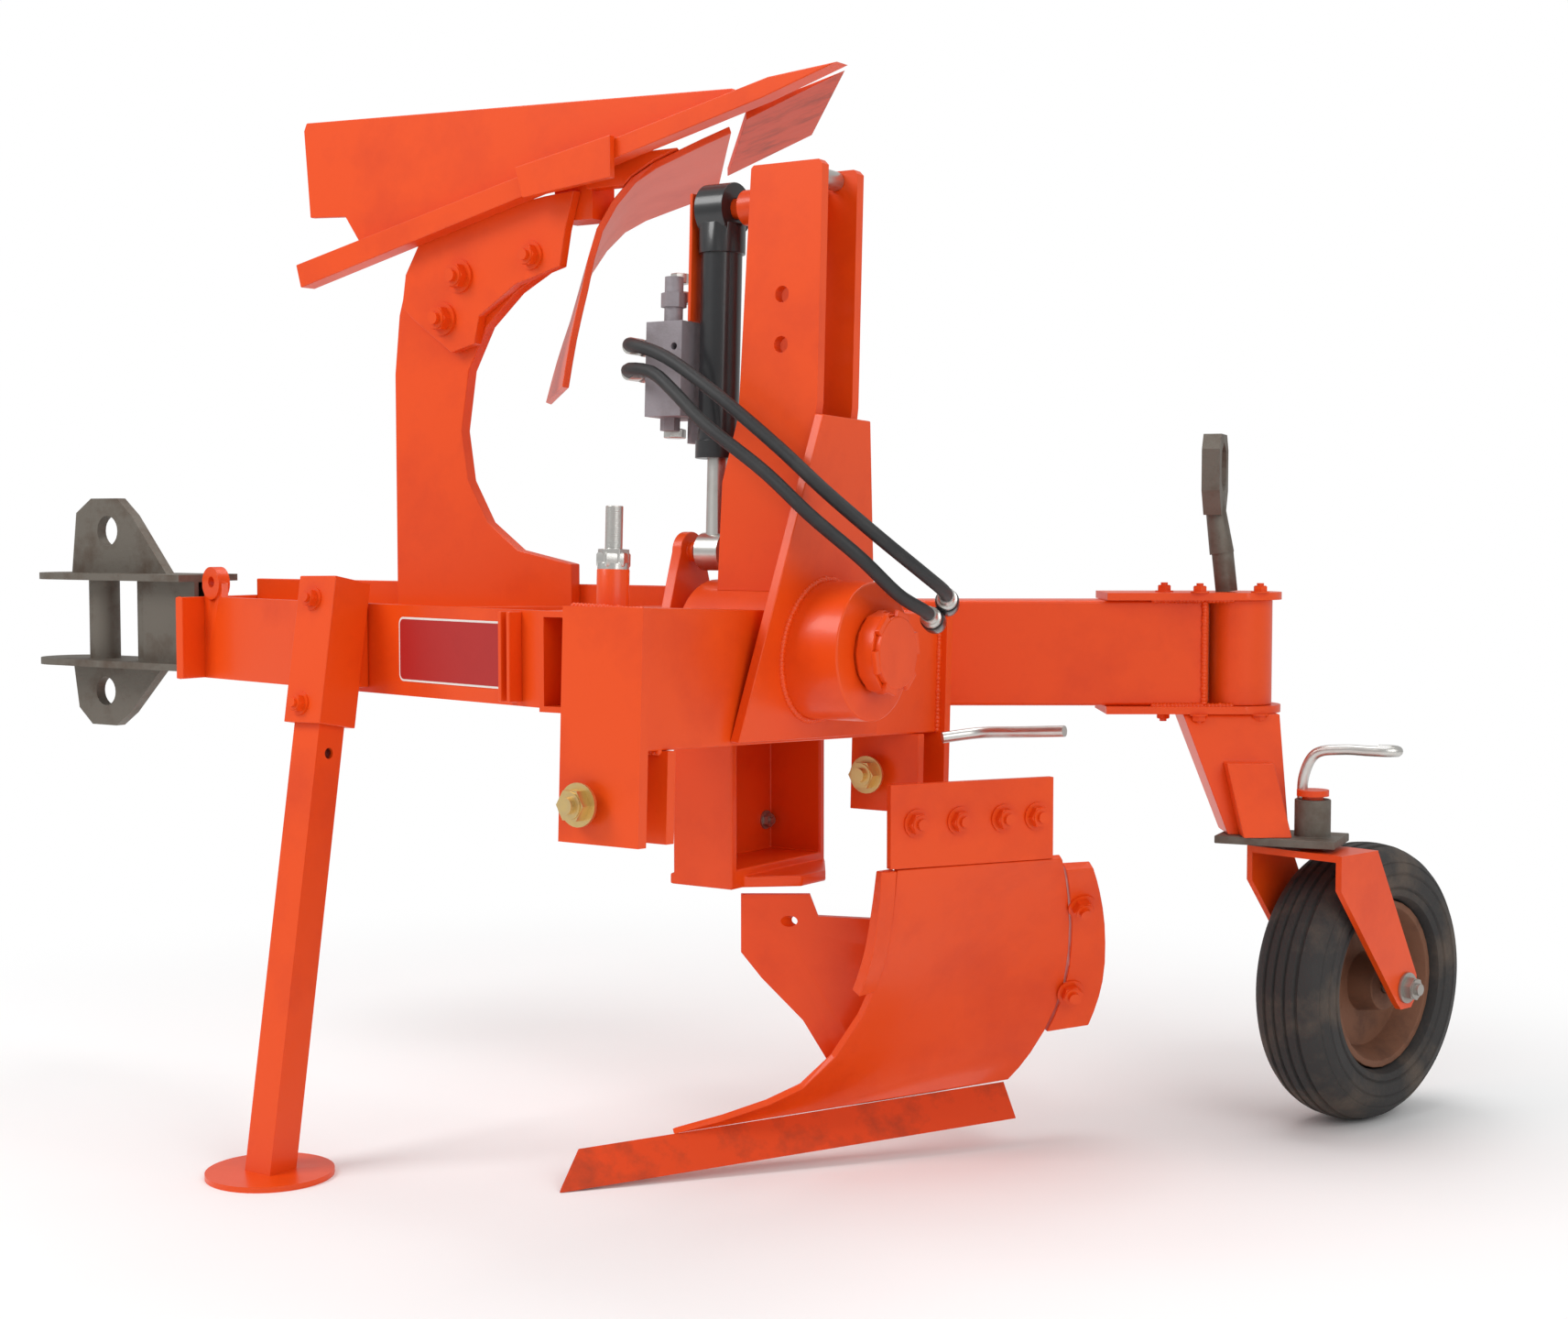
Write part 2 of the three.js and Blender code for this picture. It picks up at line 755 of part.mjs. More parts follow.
// rear drawbar bracket
const midZ = 760;
const plateR = 62;
const rearX = FRAME_REAR - 16 - GAP;
const slabs = (z0, z1) =>
  join(
    box(-1388, rearX, -plateR, plateR, z0, z1),
    rodZ(z0, z1, -1388, 0, plateR, 32),
  );
add(
  frame,
  "rear_bracket",
  cut(
    join(
      slabs(827, 838),
      slabs(684, 695),
      rodZ(690, 830, -1320, 0, 25, 28),
      rodZ(690, 830, -1200, 0, 25, 28),
      box(-1190, rearX, -30, 30, 690, 830),
      plateXZ(
        [
          [-1392, 830],
          [-1150, 830],
          [-1240, 934],
          [-1275, 962],
          [-1340, 962],
          [-1378, 938],
        ],
        -9,
        9,
      ),
      plateXZ(
        [
          [-1392, 692],
          [-1378, 610],
          [-1345, 583],
          [-1285, 583],
          [-1250, 606],
          [-1160, 692],
        ],
        -9,
        9,
      ),
    ),
    box(-1168, rearX + 1, -21, 21, 696, 826),
    rodY(-20, 20, -1300, 908, 25),
    rodY(-20, 20, -1310, 640, 24),
  ),
  rawSteel,
);

// ---------- parking leg and its sleeve ----------
const legAxis = LEG_AT_TOP.clone().sub(FOOT_AT).normalize();
const legX = V(1, 0, 0).addScaledVector(legAxis, -legAxis.x).normalize();
const legY = legAxis.clone().cross(legX);
const legFrame = basis(legX, legY, legAxis).setPosition(FOOT_AT);
const tube = (size, z0, z1) =>
  box(-size / 2, size / 2, -size / 2, size / 2, z0, z1).applyMatrix4(legFrame);
const legLength = LEG_TOP / legAxis.z;
add(
  frame,
  "parking_leg",
  join(
    cut(
      tube(LEG, -20, legLength - 6),
      tube(LEG - 2 * LEG_WALL, -30, legLength + 5),
      box(-900, -300, -600, 0, -60, FOOT_THICK - 2),
      rod(V(-40, 0, 600), V(40, 0, 600), 8).applyMatrix4(legFrame),
    ),
    rodZ(0, FOOT_THICK, FOOT_AT.x, FOOT_AT.y, FOOT_R, 40),
  ),
  red,
);
const sleeve = LEG + 2 * LEG_FIT + 2 * LEG_SLEEVE_WALL;
const sleeveLow = 640;
const sleeveX = LEG_AT_TOP.x - 6;
const barFace = (x) => nearY(x) - FRAME_BAR / 2 / Math.cos(0.215) - 0.8;
add(
  frame,
  "leg_sleeve",
  cut(
    join(
      tube(sleeve, sleeveLow, legLength - 2),
      plateXY(
        [
          [sleeveX - 34, barFace(sleeveX - 34)],
          [sleeveX - 34, LEG_AT_TOP.y - 16],
          [sleeveX + 34, LEG_AT_TOP.y - 16],
          [sleeveX + 34, barFace(sleeveX + 34)],
        ],
        FRAME_BOTTOM + 8,
        FRAME_TOP - 6,
      ),
    ),
    tube(LEG + 2 * LEG_FIT, 500, 1000),
  ),
  red,
);

// ---------- lower body: tower, frog, moldboard, share ----------
const SHEET = 10; // moldboard thickness
const edge = SHARE_WING.clone().sub(SHARE_TIP);
const edgeDir = edge.clone().normalize();
const shareBack = V(-edgeDir.y, edgeDir.x, 0).normalize();

// left and right edges of the moldboard, from the share upwards
const leftEdge = new THREE.CatmullRomCurve3([
  V(-146, 14, 55),
  V(-60, 96, 84),
  V(4, 150, 124),
  V(66, 182, 218),
  V(118, 160, 310),
  V(138, 150, 385),
  V(146, 146, 441),
]);
const rightEdge = new THREE.CatmullRomCurve3([
  V(167, 432, 92),
  V(182, 462, 120),
  V(204, 488, 170),
  V(228, 492, 236),
  V(252, 462, 320),
  V(270, 418, 390),
  V(285, 372, 441),
]);
const BULGE = 26; // how far the middle of the moldboard lies behind the chord
const moldboard = (s, t) => {
  const a = leftEdge.getPoint(THREE.MathUtils.clamp(t, 0, 1));
  const b = rightEdge.getPoint(THREE.MathUtils.clamp(t, 0, 1));
  const p = a.lerp(b, s);
  const inside = 4 * s * (1 - s) * Math.sin(Math.PI * Math.min(1, Math.max(0, t)));
  return p.addScaledVector(shareBack, BULGE * inside);
};
const T0 = 0.004;
const T1 = 0.996;
add(frame, "lower_moldboard", sheet(moldboard, 8, 10, -SHEET, 0, 0, 1, T0, T1), red);
const tailGap = 0.008;
add(
  frame,
  "lower_shin",
  sheet(moldboard, 2, 10, -SHEET - 2, 4, -0.1, -tailGap, 0.58, T1),
  red,
);
add(
  frame,
  "lower_tail_piece",
  sheet(moldboard, 2, 10, -SHEET - 3, 3, 1 + tailGap, 1.17, 0.3, 0.94),
  red,
);
const topLeft = moldboard(-0.04, 1);
const topRight = moldboard(0.94, 1);
const across = topRight.clone().sub(topLeft).setZ(0).normalize();
const extensionHeight = 118;
add(
  frame,
  "lower_extension_plate",
  trim(
  along(
    new THREE.Vector2(topLeft.x, topLeft.y).add(
      new THREE.Vector2(-across.y, across.x).multiplyScalar(5),
    ),
    new THREE.Vector2(topRight.x, topRight.y).add(
      new THREE.Vector2(-across.y, across.x).multiplyScalar(5),
    ),
    12,
    topLeft.z + 1.2,
    topLeft.z + extensionHeight,
  ),
  sheet(moldboard, 10, 10, -SHEET - 1, 1, -0.125, 1.125, T0, 1),
  ),
  red,
);

const shareWide = 45;
const shareRise = 40;
const ring = (p) => {
  const back = p.clone().addScaledVector(shareBack, shareWide);
  return [
    p,
    p.clone().addScaledVector(shareBack, 14),
    back.clone().setZ(p.z + shareRise - 6).addScaledVector(shareBack, 8),
    back.clone().setZ(p.z + shareRise + 5),
  ];
};
add(
  frame,
  "lower_share",
  block(
    ring(SHARE_TIP).map((p, i) => (i ? p.clone().addScaledVector(edgeDir, 40) : p)),
    ring(SHARE_WING),
  ),
  red,
);

// frog: an upright plate behind the moldboard, on the line across the view of the share
const FROG = 14;
const frogA = new THREE.Vector2(-122, 152);
const frogDir = new THREE.Vector2(0.829, 0.559);
const frogPlate = (points) =>
  extrude(outline(points), FROG)
    .applyMatrix4(
      basis(
        V(frogDir.x, frogDir.y, 0),
        V(0, 0, 1),
        V(frogDir.y, -frogDir.x, 0),
      ),
    )
    .translate(frogA.x, frogA.y, 0);
const towerBottom = 412;
const towerY = [92, 335];
const frontOfMoldboard = sheet(moldboard, 12, 10, -SHEET - 0.4, 150, -0.25, 1.25, T0, T1);
add(
  frame,
  "lower_frog",
  trim(
    join(
      frogPlate([
        [0, 398 - 14 - GAP],
        [100, 398 - 14 - GAP],
        [112, 352],
        [250, 345],
        [260, 150],
        [150, 100],
        [90, 200],
        [30, 262],
        [0, 300],
      ]),
      rod(
        V(frogA.x + frogDir.x * 225, frogA.y + frogDir.y * 225, 300),
        V(frogA.x + frogDir.x * 225 + 90, frogA.y + frogDir.y * 225 - 134, 300),
        20,
      ),
      rod(
        V(frogA.x + frogDir.x * 160, frogA.y + frogDir.y * 160, 150),
        V(frogA.x + frogDir.x * 160 + 90, frogA.y + frogDir.y * 160 - 134, 130),
        22,
      ),
    ),
    frontOfMoldboard,
    rod(
      V(frogA.x + 36, frogA.y - 80, 345),
      V(frogA.x + 80, frogA.y + 80, 345),
      8,
    ),
  ),
  red,
);
const towerFlange = plateXY(
    [
      [CROSS_BACK - 6, towerY[0]],
      [-96, towerY[0]],
      [-96, 122],
      [-33, 178],
      [-33, 240],
      [-96, towerY[1]],
      [CROSS_BACK - 6, towerY[1]],
    ],
    towerBottom - 14,
    towerBottom + 2,
);
add(
  frame,
  "lower_tower",
  cut(
    join(
      towerFlange,
      box(CROSS_BACK, -96, towerY[0], towerY[1], towerBottom, crossBottom - GAP),
    ),
    box(
      CROSS_BACK + 14,
      -90,
      towerY[0] + 14,
      towerY[1] - 14,
      towerBottom + 14,
      crossBottom - 14,
    ),
  ),
  red,
);

// ---------- upper body, upside down above the frame ----------
const SHANK = 20;
const shankY = FAR_BAR_Y - GAP - SHANK;
const frogY = shankY - GAP - 17;
const barY = frogY - GAP - 30;
add(
  frame,
  "upper_shank",
  plateXZ(
    [
      [-715, FRAME_BOTTOM + 10],
      [-716, 1150],
      [-706, 1240],
      [-684, 1310],
      [-640, 1350],
      [-500, 1356],
      [-400, 1352],
      [-402, 1296],
      [-470, 1262],
      [-528, 1214],
      [-565, 1150],
      [-580, 1060],
      [-568, 985],
      [-530, 922],
      [-470, 880],
      [-367, 860],
      [-367, FRAME_BOTTOM + 10],
    ],
    shankY,
    shankY + SHANK,
  ),
  red,
);
add(
  frame,
  "upper_frog",
  plateXZ(
    [
      [-676, 1299],
      [-684, 1250],
      [-658, 1228],
      [-584, 1177],
      [-538, 1188],
      [-528, 1229],
      [-456, 1272],
      [-372, 1293],
      [-362, 1344],
      [-345, 1400],
      [-400, 1396],
      [-563, 1376],
      [-640, 1356],
    ],
    frogY,
    shankY - GAP,
  ),
  red,
);
const barLow = [
  [-870, 1288],
  [5, 1491],
];
const barHigh = [
  [-880, 1324],
  [15, 1518],
];
add(
  frame,
  "upper_landside_bar",
  plateXZ([barLow[0], barLow[1], [126, 1526], barHigh[1], barHigh[0]], barY, barY + 30),
  red,
);
add(
  frame,
  "upper_clamp_plate",
  plateXZ(
    [
      [-420, 1434],
      [-406, 1389],
      [-245, 1405],
      [-245, 1464],
    ],
    barY - GAP - 12,
    barY - GAP,
  ),
  red,
);
const onBar = (x) => 1518 + (x - 15) * 0.2168;
add(
  frame,
  "upper_landside_plate",
  plateXZ(
    [
      [-878, 1400],
      [-802, 1396],
      [-760, onBar(-760) - 12],
      [-60, onBar(-60) - 14],
      [-40, onBar(-40) - 2],
      [-66, 1516],
      [-884, 1548],
      [-890, 1536],
    ],
    barY + 30 + GAP,
    barY + 30 + GAP + 10,
  ),
  red,
);
// share and moldboard sweep away from the landside along one direction
const SWEEP = V(-0.62, 0.785, 0);
const SWEEP_LENGTH = 400;
const platePlaneY = barY + 30 + GAP + 10;
const profile = new THREE.CatmullRomCurve3([
  V(-86, 0, 1470),
  V(-172, 0, 1446),
  V(-258, 0, 1414),
  V(-322, 0, 1346),
  V(-350, 0, 1262),
  V(-372, 0, 1190),
  V(-388, 0, 1120),
]);
const upperSurface = (s, t) =>
  profile
    .getPoint(THREE.MathUtils.clamp(t, 0, 1))
    .addScaledVector(SWEEP, SWEEP_LENGTH * s)
    .add(V(0, platePlaneY + 14, 0))
    .add(V(-46 * s * t, 0, -70 * s * (1 - t) * 0.4));
add(frame, "upper_moldboard", sheet(upperSurface, 4, 12, -SHEET, 0), red);
const tipProfile = [
  [110, 1524],
  [-52, 1488],
  [-52, 1474],
];
const sweepPlate = (points, y, length) => {
  const g = plateXZ(points, y, y + length);
  const shear = new THREE.Matrix4().set(
    1, SWEEP.x / SWEEP.y, 0, (-SWEEP.x / SWEEP.y) * y,
    0, 1, 0, 0,
    0, 0, 1, 0,
    0, 0, 0, 1,
  );
  return g.applyMatrix4(shear);
};
add(
  frame,
  "upper_share",
  sweepPlate(tipProfile, platePlaneY + 6, SWEEP_LENGTH),
  red,
);
// bracket that carries the moldboard and the share on the landside and the frog
add(
  frame,
  "upper_brace",
  trim(
    join(
      box(-330, -70, platePlaneY + GAP, platePlaneY + 26, 1402, 1446),
      box(-395, -325, shankY - GAP + 0.6, platePlaneY + 60, 1360, 1412),
      box(-110, -52, platePlaneY + GAP, platePlaneY + 60, 1436, 1473),
    ),
    plateXZ(
      [
        [-900, 1300],
        [-420, 1352.6],
        [-399, 1352.6],
        [-399, 1200],
        [-900, 1200],
      ],
      0,
      200,
    ),
    sheet(upperSurface, 4, 12, -SHEET - 0.4, 0.4, -0.1, 1.1, 0, 1),
    sheet(upperSurface, 4, 12, -160, -SHEET, -0.1, 1.1, 0, 1),
    box(-400, -50, 0, platePlaneY + 0.2, 1402, 1600),
  ),
  red,
);

// ---------- wheel side: knuckle, arm, fork, wheel ----------
const k = V(KNUCKLE.x, KNUCKLE.y, 0);
const sideV = V(SIDE_DIR.x, SIDE_DIR.y, 0);
const capPlate = (z0, z1) => {
  const start = k.clone().addScaledVector(sideV, -215);
  const a = new THREE.Vector2(start.x, start.y);
  return join(
    along(a, KNUCKLE, SIDE_BEAM + 34, z0, z1),
    rodZ(z0, z1, k.x, k.y, (SIDE_BEAM + 34) / 2, 36),
  );
};
add(frame, "knuckle_top_plate", capPlate(sideTop + GAP, sideTop + 12), red);
add(frame, "knuckle_bottom_plate", capPlate(sideBottom - 12, sideBottom - GAP), red);
add(
  frame,
  "knuckle_boss",
  cut(
    rodZ(sideBottom, sideTop, k.x, k.y, SIDE_BEAM / 2 + 3, 32),
    rodZ(sideBottom - 1, sideTop + 1, k.x, k.y, KNUCKLE_BORE_R, 32),
  ),
  red,
);
const eyeAt = V(330, 820, sideTop + 12 + GAP);
const eyeTurn = new THREE.Matrix4().makeRotationZ(0.26);
add(
  frame,
  "lifting_eye",
  cut(
    join(
      rod(V(10, 0, 0), V(2, 0, 70), 17),
      rod(V(2, 0, 60), V(-10, 0, 140), 19, 20, 15),
      plateYZ(
        [
          [-24, 120],
          [24, 120],
          [46, 158],
          [46, 222],
          [30, 246],
          [-30, 246],
          [-46, 222],
          [-46, 158],
        ],
        -24,
        4,
      ),
    ),
    plateYZ(
      [
        [-22, 168],
        [0, 152],
        [22, 168],
        [26, 195],
        [22, 220],
        [0, 234],
        [-22, 220],
        [-26, 195],
      ],
      -40,
      20,
    ),
    box(-60, 60, -60, 60, -60, 0),
  )
    .applyMatrix4(eyeTurn)
    .translate(eyeAt.x, eyeAt.y, eyeAt.z),
  rawSteel,
);

const crownTop = 432;
const mountLow = crownTop + SWIVEL_CLEAR;
const mountTop = mountLow + 12;
const armTop = V(345, 812, sideBottom - 12 - GAP);
const armLow = V(425, 735, mountTop + GAP);
const lean = armTop.clone().sub(armLow);
lean.multiplyScalar(1 / lean.z);
const sq = (c, a, b) => {
  const n = V(-sideV.y, sideV.x, 0);
  return [
    [-1, -1],
    [1, -1],
    [1, 1],
    [-1, 1],
  ].map(([i, j]) =>
    c.clone().addScaledVector(sideV, (i * a) / 2).addScaledVector(n, (j * b) / 2),
  );
};
add(frame, "wheel_arm", block(sq(armLow, 92, 76), sq(armTop, 150, 92)), red);

// mounting plate under the arm, with the swivel boss at its outer end
const wheelYaw = THREE.MathUtils.degToRad(AXLE_YAW);
const axleDir = V(Math.cos(wheelYaw), Math.sin(wheelYaw), 0);
const rollDir = V(-axleDir.y, axleDir.x, 0);
const swivelAt = WHEEL_AT.clone().addScaledVector(rollDir, -SWIVEL_TRAIL).setZ(0);
const SPINDLE_R = 16;
const BOSS_R = 27;
const bossTop = mountTop + 56;
const plateStart = new THREE.Vector2(384, 716);
add(
  frame,
  "wheel_plate",
  cut(
    join(
      along(
        plateStart,
        new THREE.Vector2(swivelAt.x, swivelAt.y),
        112,
        mountLow,
        mountTop,
        0,
        44,
      ),
      rodZ(mountLow + 2, bossTop, swivelAt.x, swivelAt.y, BOSS_R),
    ),
    rodZ(mountLow - 10, bossTop + 10, swivelAt.x, swivelAt.y, SPINDLE_R + 1),
  ),
  rawSteel,
);
const clampLow = V(463, 690, mountTop + GAP);
add(
  frame,
  "arm_clamp",
  trim(
    block(
      sq(clampLow, 72, 36),
      sq(clampLow.clone().addScaledVector(lean, 105), 72, 36),
    ),
    block(sq(armLow, 94, 78), sq(armTop, 152, 94)),
    rodZ(mountLow, bossTop + 40, swivelAt.x, swivelAt.y, BOSS_R + GAP),
  ),
  red,
);

const CROWN_HALF = 48;
const inner = TYRE_WIDTH / 2 + SIDE_CLEAR;
const forkFrame = basis(rollDir, V(0, 0, 1), axleDir).setPosition(
  WHEEL_AT.x,
  WHEEL_AT.y,
  0,
);
const arm = (offset) =>
  extrude(
    outline([
      [-SWIVEL_TRAIL - CROWN_HALF, crownTop - 2],
      [-SWIVEL_TRAIL - CROWN_HALF, crownTop - 52],
      [-26, TYRE_R - 20],
      [-14, TYRE_R - 32],
      [14, TYRE_R - 32],
      [28, TYRE_R - 16],
      [28, TYRE_R + 16],
      [-SWIVEL_TRAIL + CROWN_HALF, crownTop - 2],
    ]),
    FORK_PLATE,
  ).translate(0, 0, offset);
add(
  frame,
  "wheel_fork",
  cut(
    join(
      arm(inner).applyMatrix4(forkFrame),
      arm(-inner - FORK_PLATE).applyMatrix4(forkFrame),
      box(
        -SWIVEL_TRAIL - CROWN_HALF,
        -SWIVEL_TRAIL + CROWN_HALF,
        crownTop - FORK_PLATE,
        crownTop,
        -inner - FORK_PLATE,
        inner + FORK_PLATE,
      ).applyMatrix4(forkFrame),
      rodZ(crownTop - 5, bossTop + 14, swivelAt.x, swivelAt.y, SPINDLE_R),
      rodZ(bossTop + 5, bossTop + 14, swivelAt.x, swivelAt.y, 24),
    ),
    rod(
      V(0, TYRE_R, -inner - 20),
      V(0, TYRE_R, inner + 20),
      AXLE_R + GAP,
    ).applyMatrix4(forkFrame),
  ),
  red,
);
const lathe = (points) =>
  new THREE.LatheGeometry(
    points.map(([r, y]) => new THREE.Vector2(r, y)),
    32,
  );
const wheelTurn = basis(
  rollDir.clone().negate(),
  axleDir,
  V(0, 0, 1),
).setPosition(WHEEL_AT);
const onWheel = (geometry) => geometry.applyMatrix4(wheelTurn);
const w = TYRE_WIDTH / 2;
add(
  frame,
  "tyre",
  onWheel(
    lathe([
      [RIM_R, -w + 16],
      [RIM_R + 24, -w],
      [TYRE_R - 30, -w],
      [TYRE_R - 8, -w + 18],
      [TYRE_R, -w + 40],
      [TYRE_R, w - 40],
      [TYRE_R - 8, w - 18],
      [TYRE_R - 30, w],
      [RIM_R + 24, w],
      [RIM_R, w - 16],
      [RIM_R, -w + 16],
    ]),
  ),
  rubber,
);
add(
  frame,
  "wheel_rim",
  onWheel(
    lathe([
      [RIM_R - 1, -w + 17],
      [RIM_R - 1, w - 17],
      [RIM_R - 11, w - 17],
      [RIM_R - 22, w - 34],
      [RIM_R - 30, 8],
      [46, 8],
      [40, w - 14],
      [AXLE_R + 2, w - 14],
      [AXLE_R + 2, -w + 14],
      [40, -w + 14],
      [46, -2],
      [RIM_R - 30, -2],
      [RIM_R - 22, -w + 34],
      [RIM_R - 11, -w + 17],
      [RIM_R - 1, -w + 17],
    ]),
  ),
  rust,
);
add(
  frame,
  "wheel_axle",
  onWheel(rod(V(0, -inner - FORK_PLATE - 16, 0), V(0, inner + FORK_PLATE + 16, 0), AXLE_R)),
  brightSteel,
);
plough.add(frame);

// the part's origin is on the ground under the middle of its footprint
plough.updateMatrixWorld(true);
const bounds = new THREE.Box3();
plough.traverse((mesh) => {
  if (!mesh.isMesh) return;
  const world = mesh.geometry.clone().applyMatrix4(mesh.matrixWorld);
  world.computeBoundingBox();
  bounds.union(world.boundingBox);
});
const middle = bounds.getCenter(new THREE.Vector3());
const part = new THREE.Group();
plough.position.set(-middle.x, -middle.y, -bounds.min.z);
part.add(plough);

export default part;
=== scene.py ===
"""A reversible moldboard plough on its parking leg, share and gauge wheel."""
import json
import math

import bmesh
import bpy
from mathutils import Matrix, Vector
from mathutils.bvhtree import BVHTree


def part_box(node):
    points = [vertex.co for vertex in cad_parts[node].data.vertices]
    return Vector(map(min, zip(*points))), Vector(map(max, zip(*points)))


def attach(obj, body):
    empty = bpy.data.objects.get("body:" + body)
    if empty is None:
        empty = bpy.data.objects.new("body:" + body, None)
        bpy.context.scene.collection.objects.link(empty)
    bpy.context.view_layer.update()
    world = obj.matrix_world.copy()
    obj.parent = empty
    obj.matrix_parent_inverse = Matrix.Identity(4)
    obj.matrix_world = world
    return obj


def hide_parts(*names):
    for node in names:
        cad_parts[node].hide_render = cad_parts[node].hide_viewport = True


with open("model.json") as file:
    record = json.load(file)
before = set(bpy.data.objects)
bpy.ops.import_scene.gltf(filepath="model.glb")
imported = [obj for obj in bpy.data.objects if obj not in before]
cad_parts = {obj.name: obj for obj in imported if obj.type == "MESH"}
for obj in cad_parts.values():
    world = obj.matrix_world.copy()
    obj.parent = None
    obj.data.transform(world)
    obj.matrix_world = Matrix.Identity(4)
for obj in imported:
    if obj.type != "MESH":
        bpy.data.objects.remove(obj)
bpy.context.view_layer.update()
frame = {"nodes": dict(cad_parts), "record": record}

# ---------- places ----------
HUB_MM = 751  # turnover axis above the ground, in millimetres
HUB_Z = HUB_MM / 1000
HUB_BACK = -0.060  # the hub tube's rear end, from the point that places are measured from
TILT = Matrix.Rotation(math.radians(-2.3), 3, "X")  # the parked headstock's lean about the hub
shaft_low, shaft_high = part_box("turnover_shaft")
ORIGIN = Vector((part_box("hub_tube")[0][0] - HUB_BACK, (shaft_low[1] + shaft_high[1]) / 2, 0))
NEAR, FAR, UP, DOWN = Vector((0, -1, 0)), Vector((0, 1, 0)), Vector((0, 0, 1)), Vector((0, 0, -1))
BACK = Vector((-1, 0, 0))


def at(x, y, z):
    """A point given in millimetres from the hub axis at the ground."""
    return ORIGIN + Vector((x, y, z)) / 1000


def head(x, y, z):
    """The same on the headstock, which leans about the hub."""
    axis = Vector((0, 0, HUB_Z))
    return ORIGIN + axis + TILT @ (Vector((x, y, z)) / 1000 - axis)


def head_way(x, y, z):
    """A direction on the headstock."""
    return TILT @ Vector((x, y, z))


WHEEL_AT = at(548, 864, 214)
WHEEL_TURN = math.radians(-13.3)  # how far the parked wheel is swivelled
AXLE = Vector((math.cos(WHEEL_TURN), math.sin(WHEEL_TURN), 0))

# ---------- camera ----------
camera = bpy.data.objects.new("camera", bpy.data.cameras.new("camera"))
bpy.context.collection.objects.link(camera)
camera.data.sensor_width = 36
camera.data.lens = 52.57
camera.data.clip_end = 100
camera.location = at(1775, -2549, 915)
camera.rotation_euler = (math.radians(86.68), 0, math.radians(34))
bpy.context.scene.camera = camera


# ---------- finishes ----------
WEAR_STARTS, WEAR_FULL = 0.48, 0.72  # where in the patchy noise the worn colour comes in
GRAIN_DEPTH = 0.002
COAT_ROUGHNESS = 0.12


def weathered_surface():
    """Node group: two colours mixed by patchy wear, with a fine grain for roughness and height."""
    group = bpy.data.node_groups.new("weathered surface", "ShaderNodeTree")
    face = group.interface
    for name, kind, value in [
        ("Clean Colour", "NodeSocketColor", (0.5, 0.5, 0.5, 1)),
        ("Worn Colour", "NodeSocketColor", (0.3, 0.3, 0.3, 1)),
        ("Patch Scale", "NodeSocketFloat", 8.0),
        ("Wear", "NodeSocketFloat", 0.3),
        ("Grain Scale", "NodeSocketFloat", 300.0),
        ("Roughness", "NodeSocketFloat", 0.4),
        ("Roughness Spread", "NodeSocketFloat", 0.15),
    ]:
        face.new_socket(name, in_out="INPUT", socket_type=kind).default_value = value
    for name, kind in [
        ("Colour", "NodeSocketColor"),
        ("Roughness", "NodeSocketFloat"),
        ("Height", "NodeSocketFloat"),
    ]:
        face.new_socket(name, in_out="OUTPUT", socket_type=kind)
    make, link = group.nodes.new, group.links.new
    given, made = make("NodeGroupInput"), make("NodeGroupOutput")
    where = make("ShaderNodeTexCoord")
    patches = make("ShaderNodeTexNoise")
    patches.inputs["Detail"].default_value = 7
    patches.inputs["Roughness"].default_value = 0.62
    link(where.outputs["Object"], patches.inputs["Vector"])
    link(given.outputs["Patch Scale"], patches.inputs["Scale"])
    grain = make("ShaderNodeTexNoise")
    grain.inputs["Detail"].default_value = 3
    link(where.outputs["Object"], grain.inputs["Vector"])
    link(given.outputs["Grain Scale"], grain.inputs["Scale"])
    edge = make("ShaderNodeMapRange")
    edge.inputs["From Min"].default_value, edge.inputs["From Max"].default_value = WEAR_STARTS, WEAR_FULL
    link(patches.outputs["Fac"], edge.inputs["Value"])
    amount = make("ShaderNodeMath")
    amount.operation = "MULTIPLY"
    link(edge.outputs["Result"], amount.inputs[0])
    link(given.outputs["Wear"], amount.inputs[1])
    colour = make("ShaderNodeMix")
    colour.data_type = "RGBA"
    link(amount.outputs[0], colour.inputs["Factor"])
    link(given.outputs["Clean Colour"], colour.inputs["A"])
    link(given.outputs["Worn Colour"], colour.inputs["B"])
    link(colour.outputs["Result"], made.inputs["Colour"])
    spread = make("ShaderNodeMath")
    spread.operation = "MULTIPLY_ADD"
    link(patches.outputs["Fac"], spread.inputs[0])
    link(given.outputs["Roughness Spread"], spread.inputs[1])
    link(given.outputs["Roughness"], spread.inputs[2])
    link(spread.outputs[0], made.inputs["Roughness"])
    link(grain.outputs["Fac"], made.inputs["Height"])
    return group


SURFACE = weathered_surface()


